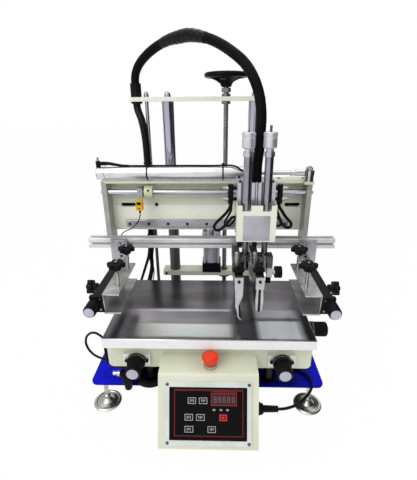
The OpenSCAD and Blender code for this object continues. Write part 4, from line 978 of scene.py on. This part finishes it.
dress("squeegee_holder", bar_alloy.material, (yoke_steel, in_yoke), (black_resin, in_nut),
      (black_resin, in_angle_knob), eased=0.4)
dress("flood_bar", bar_alloy.material, (yoke_steel, in_yoke), (black_resin, in_nut), eased=0.3)
dress("squeegee_blade", moulded("blade_rubber", (46, 42, 38), (34, 31, 28), 0.45, 1200, 0.000008))
NUT_Y = -140
for name, fitting_x, nut_x in (("squeegee", 115, 120), ("flood", 71, 71)):
    foot = lathe(bmesh.new(), [(0, 391), (7.4, 391), (9, 392.4), (9, 397), (10.4, 397.4), (10.4, 401),
                               (9, 401.4), (9, 426), (8.2, 426.6), (0, 426.6)])
    settle(f"{name}_shaft_foot", foot, shaft_steel, name, at(SHAFT_X[name], -80.5))
    fitting = lathe(bmesh.new(), [(0, 407), (8.2, 407), (8.2, 412.5), (6.4, 413), (6.4, 416), (8.2, 416.5),
                                  (8.2, 424), (6.4, 424.5), (6.4, 428), (6.9, 428.5), (6.9, 436), (6, 437),
                                  (0, 437)])
    settle(f"{name}_yoke_fitting", fitting, nickel, name, at(fitting_x, -85.4))
    rim = lathe(bmesh.new(), [(12.2, 410.6), (13.6, 410.6), (14.1, 411.1), (14.1, 415), (13.6, 415.5),
                              (12.2, 415.5)], 48)
    settle(f"{name}_nut_rim", rim, black_resin, name, at(nut_x, NUT_Y))
    grow(f"{name}_nut_knurl", ring_tree, black_resin, name, "black_plastic", at(nut_x, NUT_Y, 413),
         Count=40, Radius=0.0141, Length=0.0036, Width=0.0011, Proud=0.0008)
    screws(f"{name}_front_screws", [(nut_x, -171.8, 398)], FRONT, 3.6, 2.2, black_oxide, name)
screws("squeegee_plate_screws", [(129.3, y, 362) for y in (-150, -90, -30)], RIGHT, 3, 2.2, zinc, "squeegee")


# Screen clamps: bars on alloy brackets, black anodised in front and bare behind, extruded
# channels that take the screen's edge, star grips on plated screws with collars, and knurled
# fine-adjusting knobs with light caps.
satin_black = moulded("satin_black", (30, 30, 33), (20, 20, 23), 0.32, 1600, 0.000006)
arm_black = moulded("arm_black", (28, 28, 31), (19, 19, 22), 0.28, 1600, 0.000006, 0.08,
                    bare=lambda resin, x, y, z: resin.spread(y, 0.002, 0.004), metal=(186, 186, 188))
channel_alloy = bright("channel_alloy", (216, 216, 216), (148, 148, 148), 0.24, (60, 1.5, 60), 0.000008,
                       metallic=0.85, dents=0.0005)
GRIP_R, GRIP_LOBES, GRIP_FOOT, GRIP_T = 22, 6, 427, 12


def star(shape):
    """Adds the clamp screws' grip, with rounded lobes and eased edges."""
    rings = []
    for inset, height in ((2.4, 0), (0.6, 0.5), (0, 2), (0, GRIP_T - 3.5), (0.5, GRIP_T - 1.8),
                          (2, GRIP_T - 0.6), (5, GRIP_T)):
        ring = []
        for k in range(GRIP_LOBES * 12):
            a = math.tau * k / (GRIP_LOBES * 12)
            r = GRIP_R * (0.74 + 0.26 * (0.5 + 0.5 * math.cos(GRIP_LOBES * a)) ** 0.75) - inset
            ring.append(shape.verts.new(Vector((r * math.cos(a), r * math.sin(a), GRIP_FOOT + height)) * MM))
        rings.append(ring)
    skin(shape, rings)
    shape.faces.new(rings[0][::-1])
    shape.faces.new(rings[-1])
    return shape


def clamp_bolt(x, y, z):
    return y > 53.9 and y < 60 and z > 386 or y > 71.5


for side, web, s in (("left", -245, -1), ("right", 259, 1)):
    frame_body, clamp_body = f"{side}_frame", f"{side}_clamp"
    dress(f"{side}_arm", arm_black, (alloy, lambda x, y, z: y > 59.95), (nickel, clamp_bolt), eased=0.5)
    dress(f"{side}_channel", channel_alloy, (satin_black, lambda x, y, z: s * (x - web) > 0.05), eased=0.35)
    dress(f"{side}_fine_knob", black_resin, (cap_metal, lambda x, y, z: y < -236.4))
    grow(f"{side}_fine_scale", ring_tree, black_resin, f"{side}_fine", "black_plastic",
         at(web + s * 20, -199.3, 353) @ TO_FRONT @ at(0, 0, 18), Count=44, Radius=0.0145, Length=0.026,
         Width=0.0009, Proud=0.0007)
    for which, y in (("front", -155), ("rear", -59)):
        spot, body = at(web - s * 27, y), f"{side}_screw_{which}"
        grip = star(bmesh.new())
        lathe(grip, [(0, 419), (9.2, 419), (10.4, 420), (11.6, 427.5), (0, 427.5)])
        lathe(grip, [(0, 438.6), (7.6, 438.6), (7.6, 440), (6.4, 440.6), (0, 440.6)])
        settle(f"{side}_{which}_grip", grip, black_resin, body, spot, 50)
        spindle = lathe(bmesh.new(), [(0, 364.5), (7, 364.5), (7, 369.5), (4, 369.9), (4, 412), (0, 412)])
        lathe(spindle, [(0, 440.4), (3.3, 440.4), (3.3, 441.4), (2.7, 442), (0, 442)])
        spindle = settle(f"{side}_{which}_spindle", spindle, nickel, body, spot)
        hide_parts(f"{side}_{which}_screw")
    screws(f"{side}_block_screws", [(web + s * x, -198.8, z) for x, z in ((6, 366), (6, 338), (27.5, 338))],
           FRONT, 2.3, 1.8, zinc, frame_body)
    screws(f"{side}_pad_screws", [(web - s * 3.3, y, 352) for y in (-150, -50)], (-s, 0, 0), 3, 2, zinc,
           frame_body)
    screws(f"{side}_arm_screws", [(web + s * 20, y, 363.8) for y in (20, 45)], UP, 4, 3, black_oxide,
           clamp_body)
    screws(f"{side}_bracket_screws", [(web + s * x, 60.2, 404) for x in (12, 46)], FRONT, 3.2, 2.4, zinc,
           clamp_body)


# Conduit: a 24 mm black woven sleeve over the head's hoses, from a threaded gland on the top
# plate over to the print head. The real sleeve bends as the carrier, the beam and the head move;
# here it is laid in one pose as three pieces, rear, top and front. Tape binds its highest stretch.
dress("conduit_socket", black_resin)
ARCH = [
    (-225, 233, 842), (-225, 233, 852), (-221, 230, 869), (-208, 219, 889), (-184, 199, 908.5),
    (-151, 173.5, 926), (-112, 142.6, 938), (-80, 117, 939), (-48, 91.8, 938.5), (-14, 64.5, 932),
    (19, 39, 917), (51, 13, 895), (80, -9, 869), (100, -26, 838), (113, -37, 803), (119.5, -42, 763),
    (120, -42.5, 722), (119, -41, 682), (116, -40, 646), (116, -40, 606),
]
STEP = 5.0


def smooth(route, spacing=STEP):
    """Evenly spaced places on a smooth line through the route's points, in metres."""
    points = [Vector(p) for p in route]
    dense = []
    for i in range(len(points) - 1):
        a, b, c, d = (points[max(0, min(len(points) - 1, i + k))] for k in (-1, 0, 1, 2))
        for step in range(16):
            t = step / 16
            dense.append(0.5 * (2 * b + (c - a) * t + (2 * a - 5 * b + 4 * c - d) * t * t
                                + (3 * b - a - 3 * c + d) * t ** 3))
    dense.append(points[-1])
    runs = [0.0]
    for a, b in zip(dense, dense[1:]):
        runs.append(runs[-1] + (b - a).length)
    count = max(2, round(runs[-1] / spacing))
    even, i = [], 0
    for step in range(count + 1):
        wanted = runs[-1] * step / count
        while i < len(runs) - 2 and runs[i + 1] < wanted:
            i += 1
        share = (wanted - runs[i]) / (runs[i + 1] - runs[i])
        even.append(dense[i].lerp(dense[i + 1], share) * MM)
    return even


def frames(path):
    """A side direction at each place that turns as little as it can, and the one across it."""
    kept, side = [], None
    for i in range(len(path)):
        along = (path[min(i + 1, len(path) - 1)] - path[max(i - 1, 0)]).normalized()
        if side is None:
            side = along.cross(Vector((0, 1, 0)) if abs(along.y) < 0.8 else Vector((1, 0, 0)))
        side = (side - side.dot(along) * along).normalized()
        kept.append((side, along.cross(side)))
    return kept


def tube(name, path, radius, sides, material, lift=lambda share: 0.0):
    """A round tube along the path, closed at its ends, with length and turn kept as its UVs.
    Radius is a number, or like lift a rule from the share of the way."""
    verts, faces, uvs, runs = [], [], [], []
    for i, (place, (side, over)) in enumerate(zip(path, frames(path))):
        runs.append(runs[-1] + (place - path[i - 1]).length if i else 0.0)
        share = i / (len(path) - 1)
        r = (radius(share) if callable(radius) else radius) * MM
        centre = place + Vector((0, 0, lift(share))) * MM
        for k in range(sides):
            a = math.tau * k / sides
            verts.append(centre + r * (math.cos(a) * side + math.sin(a) * over))
    for i in range(len(path) - 1):
        for k in range(sides):
            n = (k + 1) % sides
            faces.append((i * sides + k, i * sides + n, (i + 1) * sides + n, (i + 1) * sides + k))
            uvs += [(runs[i], k / sides), (runs[i], (k + 1) / sides), (runs[i + 1], (k + 1) / sides),
                    (runs[i + 1], k / sides)]
    last = (len(path) - 1) * sides
    faces += [tuple(range(sides - 1, -1, -1)), tuple(range(last, last + sides))]
    uvs += [(0.0, k / sides) for k in range(sides - 1, -1, -1)]
    uvs += [(runs[-1], k / sides) for k in range(sides)]
    mesh = bpy.data.meshes.new(name)
    mesh.from_pydata(verts, [], faces)
    for corner, uv in zip(mesh.uv_layers.new(name="run").data, uvs):
        corner.uv = uv
    return finished(name, mesh, material, 50)


sleeve = Finish("woven_sleeve", Specular_IOR_Level=0.05)
unrolled = add(sleeve.tree, "ShaderNodeTexCoord").outputs["UV"]
run = add(sleeve.tree, "ShaderNodeSeparateXYZ", {0: unrolled}).outputs
lengthwise = sleeve.times(run[0], math.tau / 0.0042)
threads = [sleeve.math("SINE", sleeve.math("ADD", lengthwise, sleeve.times(run[1], hand * math.tau * 18)))
           for hand in (1, -1)]
weave = sleeve.math("MAXIMUM", *threads)
sleeve.set("Base Color", sleeve.mix(sleeve.spread(weave, 0.1, 1.0), (6, 6, 8), (19, 19, 22)))
sleeve.rough(sleeve.noise(40, 3), 0.42, 0.60)
sleeve.relief(sleeve.spread(weave, -1, 1), 0.00025)

arch = smooth(ARCH)
TAPE_START, TAPE_END = round(160 / STEP), round(325 / STEP)
landing = next(p for p in arch[TAPE_END:] if p.z < 0.75)
conduits = {}
for part, bodies, a, b, end in (
    ("rear", ("base", "lift_carrier"), 0, TAPE_START, arch[TAPE_START]),
    ("top", ("lift_carrier", "beam"), TAPE_START, TAPE_END, arch[TAPE_END]),
    ("front", ("beam", "carriage"), TAPE_END, len(arch) - 1, landing),
):
    path = arch[a:b + 1]
    piece = conduits[part] = tube(f"sleeve_{part}", path, 12, 28, sleeve.material)
    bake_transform(piece)
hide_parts("conduit_rear")
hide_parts("conduit_front")


def tape_radius(share):
    """The tape's turns overlap, and it is wound thicker towards the middle."""
    swell = math.sin(math.pi * min(1, max(0, share)) ** 1.2) ** 1.3
    return 12.35 + 3.0 * swell + 0.8 * ((share * 8) % 1)


tape_black = moulded("tape_black", (20, 19, 21), (12, 12, 13), 0.20, 260, 0.00012, shine=0.14)
taped = smooth([p * 1000 for p in arch[TAPE_START + 1:TAPE_END]], 2.0)
tape = tube("conduit_tape", taped, tape_radius, 28, tape_black,
            lift=lambda share: 3.2 * math.sin(math.pi * share ** 1.2) ** 2)
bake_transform(tape)


# Rear hoses: five air hoses and a thin cable that leave the gland together in a sleeve, tied
# on the way down, and part below the beam to enter the back of the bed.
BUNDLE = [
    (-225, 233, 786), (-225, 233, 777), (-221, 230, 762), (-213, 224, 742), (-206, 218, 710), (-202, 214, 670),
    (-201, 212, 610), (-202, 212, 540), (-204, 212, 470), (-206, 212, 400), (-208, 213, 340), (-214, 215, 296),
    (-222, 216, 260), (-232, 212, 222), (-240, 196, 195), (-240, 168, 184), (-235, 130, 186), (-229, 95, 193),
    (-228, 80, 194), (-228, 65, 194),
]
STRANDS = ((0.5, 8, 14), (1.76, 8, 17), (3.01, 8, -8), (4.27, 8, -6), (5.53, 8, 11), (0, 3.6, 30))
hose_black = moulded("hose_black", (26, 26, 28), (18, 18, 20), 0.34, 700, 0.00001)
wire_grey = moulded("wire_grey", (70, 70, 74), (56, 56, 60), 0.42, 900, 0.000006)


def hose(name, route, diameter, body, material=hose_black, far_end="object", stiffness="medium",
         lay="hanging", **more):
    """A hose or lead: one smooth curve through the route's points, riding on a body."""
    curve = bpy.data.curves.new(name, "CURVE")
    curve.dimensions = "3D"
    curve.bevel_depth, curve.bevel_resolution, curve.resolution_u = diameter / 2 * MM, 4, 6
    curve.use_fill_caps = True
    line = curve.splines.new("BEZIER")
    line.bezier_points.add(len(route) - 1)
    for point, place in zip(line.bezier_points, route):
        point.co = Vector(place) * MM
        point.handle_left_type = point.handle_right_type = "AUTO"
    curve.materials.append(material)
    made = mount(put(name, curve), body)
    even = smooth(route, 2.0)
    return made


bundle = smooth(BUNDLE, 22)
for number, (angle, thick, apart) in enumerate(STRANDS, 1):
    route = []
    for i, (place, (side, over)) in enumerate(zip(bundle, frames(bundle))):
        share = i / (len(bundle) - 1)
        loose = max(0.0, math.sin(math.pi * min(1, max(0, (share - 0.68) / 0.28))))
        turn = angle + 0.9 * math.sin(share * 5)
        out = 6.85 if thick == 8 else 0.0
        route.append(place * 1000 + out * (math.cos(turn) * side + math.sin(turn) * over)
                     + Vector((loose * apart, 0, 0)))
    hose(f"rear_hose_{number}", route, thick, "base", hose_black if thick == 8 else wire_grey)
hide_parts("hose_bundle")
mount(tube("rear_hose_sleeve", smooth(BUNDLE[:7], 3.0), lambda share: 11.2 + 0.25 * math.sin(share * 150), 24,
           tape_black), "base")
BUNDLE_TIES = ((-201, 212.2, 612, 11.5), (-203.5, 212, 486, 11), (-207, 212.3, 372, 11))
for number, (x, y, z, r) in enumerate(BUNDLE_TIES, 1):
    tie = lathe(bmesh.new(), [(r - 0.4, -2), (r + 1.0, -2), (r + 1.0, 2), (r - 0.4, 2)], 28)
    slab(tie, (-3, -r - 4, -2.6), (3, -r - 0.2, 2.6), 0.4)
    slab(tie, (-11, -r - 2.6, -0.9), (-2, -r - 1.4, 0.9), 0.2)
    settle(f"bundle_tie_{number}", tie, tie_black, "base", at(x, y, z))


# Air loop: thin hose that leaves the bed's left side, loops out and back to the fitting below.
LOOP = [
    (-255, -150, 205), (-261, -150, 205), (-272, -150, 213), (-284, -150, 227), (-299, -150, 235),
    (-314, -150, 229), (-323, -150, 211), (-322, -150, 190), (-313, -150, 171), (-299, -150, 158),
    (-282, -150, 151), (-266, -150, 149), (-247, -150, 149),
]
loop = hose("air_loop_hose", LOOP, 6, "base", far_end="fitting", stiffness="stiff",
            with_pieces=[parts["bed_pillars"]])
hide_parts("air_loop")
for name, x, z, sides in (("upper", -255, 205, 24), ("lower", -247, 149, 6)):
    nut = lathe(bmesh.new(), [(3.1, 0), (6.4, 0), (7, 0.8), (7, 5), (5, 6.5), (4.4, 9), (3.1, 9)], sides)
    settle(f"loop_nut_{name}", nut, nickel, "base", at(x, -150, z) @ TO_LEFT, 30)


# Air filter: black head and bowl on a bracket at the plate's front left corner, with a plated
# quick coupling. A hose leads to it from the bed's side.
unit = slab(bmesh.new(), (-222, -203, 112), (-198, -175, 140), 1.5, 4)
slab(unit, (-231, -190.5, 126.5), (-221, -175.5, 141.5), 1.5)
bowl = lathe(bmesh.new(), [(0, 88.5), (5, 89), (8.4, 91), (10, 94.5), (10, 109), (11.4, 109.4), (11.4, 112.5),
                           (0, 112.5)])
settle("air_filter", join(unit, bowl, at(-211, -190)), black_resin, "base")
bracket = slab(bmesh.new(), (-220, -175.4, 92), (-202, -172.4, 136), 0.6)
slab(bracket, (-220, -175.4, 92), (-202, -150, 94.6), 0.6)
settle("filter_bracket", bracket, black_oxide, "base")
coupling = lathe(bmesh.new(), [(0, 0), (7.2, 0), (8, 0.8), (8, 7.2), (7.2, 8), (4, 8.2), (4, 10.4),
                               (5.4, 10.8), (5.4, 18), (4.6, 19), (2.6, 19), (2.6, 12), (0, 12)])
settle("filter_coupling", coupling, chrome, "base", at(-230.8, -183, 134) @ TO_LEFT)
SIDE_HOSE = [
    (-254.5, -150, 227), (-261, -152, 227), (-267, -157, 220), (-268.5, -163, 206), (-268.5, -165, 185),
    (-268, -165, 165), (-264, -166, 153), (-255, -168, 147.5), (-243, -170, 147.5), (-231, -174, 149),
    (-220, -180, 151), (-213, -185, 148.5), (-211, -187.5, 140),
]
hose("side_hose", SIDE_HOSE, 8, "base", stiffness="stiff")


# Head hoses: two at each side hang from the flow valves and turn back up to the head's foot,
# and a thin one comes along the top of the long cylinder from the boot on its elbow.
LEFT_HOSE = [
    (53, -31, 548), (53, -31, 541), (46, -26, 525), (34, -20, 509), (23, -14, 496), (14.8, -10, 485),
    (11, -9.5, 476.5), (14.3, -11, 469.3), (22.3, -14.5, 468.8), (31.6, -20, 475.8), (42, -30, 489.5),
    (51, -40, 505), (59, -45, 515), (67, -45, 515),
]
RIGHT_HOSE = [
    (177, -31, 548), (177, -31, 541), (186, -26, 526), (196, -20, 511), (207, -14, 498), (215, -10, 488),
    (216, -10, 480), (208, -13, 476), (197, -20, 482), (187, -30, 494), (179, -41, 508), (170, -45, 515),
    (163, -45, 515),
]
TOP_HOSE = [
    (-296, 94, 629), (-288, 94, 629), (-272, 93.5, 626.5), (-252, 93, 623.6), (-230, 93, 622.8),
    (-150, 93, 622.8), (-60, 93, 622.8), (20, 93, 622.8), (48, 91, 624), (70, 83, 622), (84, 75, 615),
    (93, 70, 612), (102, 70, 612),
]


def boot_radius(share):
    """The boot tapers, and is ribbed near the elbow."""
    return 5.2 - 2.4 * share + 0.3 * (share < 0.3) * math.sin(share * 130)


boot = tube("elbow_boot", smooth(TOP_HOSE[:5], 3.0), boot_radius, 20, black_resin)
mount(boot, "carriage")
left_hose = hose("left_head_hose", LEFT_HOSE, 8, "carriage", with_pieces=[])
hose("right_head_hose", RIGHT_HOSE, 8, "carriage", with_pieces=[])
hose("barrel_hose", TOP_HOSE, 5, "carriage", lay="taut", with_pieces=[boot])
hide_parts("head_hoses")
INNER_HOSE = [
    (-3, -24, 552), (-3, -23, 540), (-2, -20, 525), (3, -16, 512), (9, -12, 500), (13, -8, 489), (11, -4, 480),
    (4, -2, 477), (-4, -3, 482), (-10, -6, 491), (-14, -10, 498), (-17, -14, 500),
]
for side, s in (("left", -1), ("right", 1)):
    hose(f"{side}_inner_hose", [(HEAD_X + s * (62 + out), y, z) for out, y, z in INNER_HOSE], 6, "carriage")


# Sensor wire: thin black lead from the sensor's gland down behind the slotted rail, into its
# rear slot.
WIRE = [
    (-207.5, 84, 488), (-208, 84, 483), (-210, 87, 475), (-214, 91, 464), (-222, 95, 451), (-232, 98, 440),
    (-244, 100.5, 431), (-256, 102, 425), (-266, 103, 420), (-273, 103.6, 414), (-277, 104, 408),
    (-279, 103, 402), (-281, 100.5, 398), (-285, 97.4, 396.2), (-291, 95.4, 396), (-300, 95, 396),
]
hose("sensor_wire", WIRE, 3, "beam")


# Mains lead: 7 mm black lead with a moulded inlet plug in the control box's side. It goes over
# the plate's edge and under the bed to a coil round the front spacer, and ends in its plug.
PLUG_Y, PLUG_Z = -250, 92
plug_rubber = moulded("plug_rubber", (24, 24, 26), (16, 16, 18), 0.40, 1200, 0.00001)
inlet = slab(bmesh.new(), (104, PLUG_Y - 13, 84), (121, PLUG_Y + 13, 100), 1.2)
for x0, x1, half in ((121, 125.5, 12.2), (125.5, 129.5, 10.8), (129.5, 133, 9)):
    taper = (13 - half) * 0.3
    slab(inlet, (x0 - 0.5, PLUG_Y - half, 82.4 + taper), (x1, PLUG_Y + half, 101.6 - taper), 0.8)
inlet = settle("inlet_plug", inlet, plug_rubber, "base")
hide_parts("mains_plug")
relief_profile = [(0, 0), (8.8, 0)]
for rib in range(6):
    r, foot = 8.8 - rib * 0.18, rib * 5.4
    relief_profile += [(r, foot), (r, foot + 3.2), (r - 1.3, foot + 3.5), (r - 1.3, foot + 5.1)]
relief_profile += [(7.6, 33), (7.6, 37), (6.6, 38), (0, 38)]
settle("inlet_relief", lathe(bmesh.new(), relief_profile, 28), plug_rubber, "base",
       at(131, PLUG_Y, PLUG_Z) @ TO_RIGHT)
LEAD = [
    (165, -250, 92), (178, -250, 92), (197, -246, 92.5), (216, -238, 93.5), (234, -225, 95), (250, -210, 97),
    (262, -194, 99), (268, -178, 99), (269, -163, 98.5), (264, -146, 98), (250, -128, 96.3), (228, -113, 95.6),
    (200, -105, 95.6), (170, -100, 95.6), (140, -98, 95.6), (100, -96.5, 95.6), (60, -96, 95.6),
    (20, -96.2, 95.6), (-20, -97, 95.6), (-50, -98, 95.6), (-80, -99.5, 95.6), (-105, -101, 95.6),
    (-125, -102.6, 95.6), (-141, -103.8, 95.6),
]
COIL_X, COIL_Y, OUTER, INNER, LOW, HIGH = -158, -150, 38.5, 31.5, 95.6, 102.8


def coil_place(degrees):
    """Where the coil is at this angle: outer ring low, inner low, inner high, outer high."""
    def eased(start, end):
        share = min(1, max(0, (degrees - start) / (end - start)))
        return share * share * (3 - 2 * share)
    radius = OUTER + 8 * (1 - eased(78, 165)) - (OUTER - INNER) * (eased(420, 480) - eased(1080, 1140))
    a = math.radians(degrees)
    return (COIL_X + radius * math.cos(a), COIL_Y + radius * math.sin(a), LOW + (HIGH - LOW) * eased(720, 780))


LEAD += [coil_place(d) for d in range(84, 1531, 18)]
LEAD += [(-170, -111.5, 102.6), (-182, -111.5, 102.3), (-195, -111.5, 102), (-206, -111.5, 102)]
far_relief = lathe(bmesh.new(), [(0, 0), (4.9, 0), (4.9, 3), (4.5, 3.4), (4.5, 7), (4.2, 7.4), (4.2, 12),
                                 (3.6, 22), (0, 22)], 24)
far_relief = settle("far_relief", far_relief, plug_rubber, "base",
                    at(-210, -111.5, 102) @ TO_RIGHT)
dress("wall_plug", plug_rubber, (nickel, lambda x, y, z: y > -103.4))
lead = hose("mains_lead", LEAD, 7, "base", far_end="plug", lay="coiled",
            with_pieces=[parts["wall_plug"], far_relief])
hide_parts("mains_cord", "mains_coil")
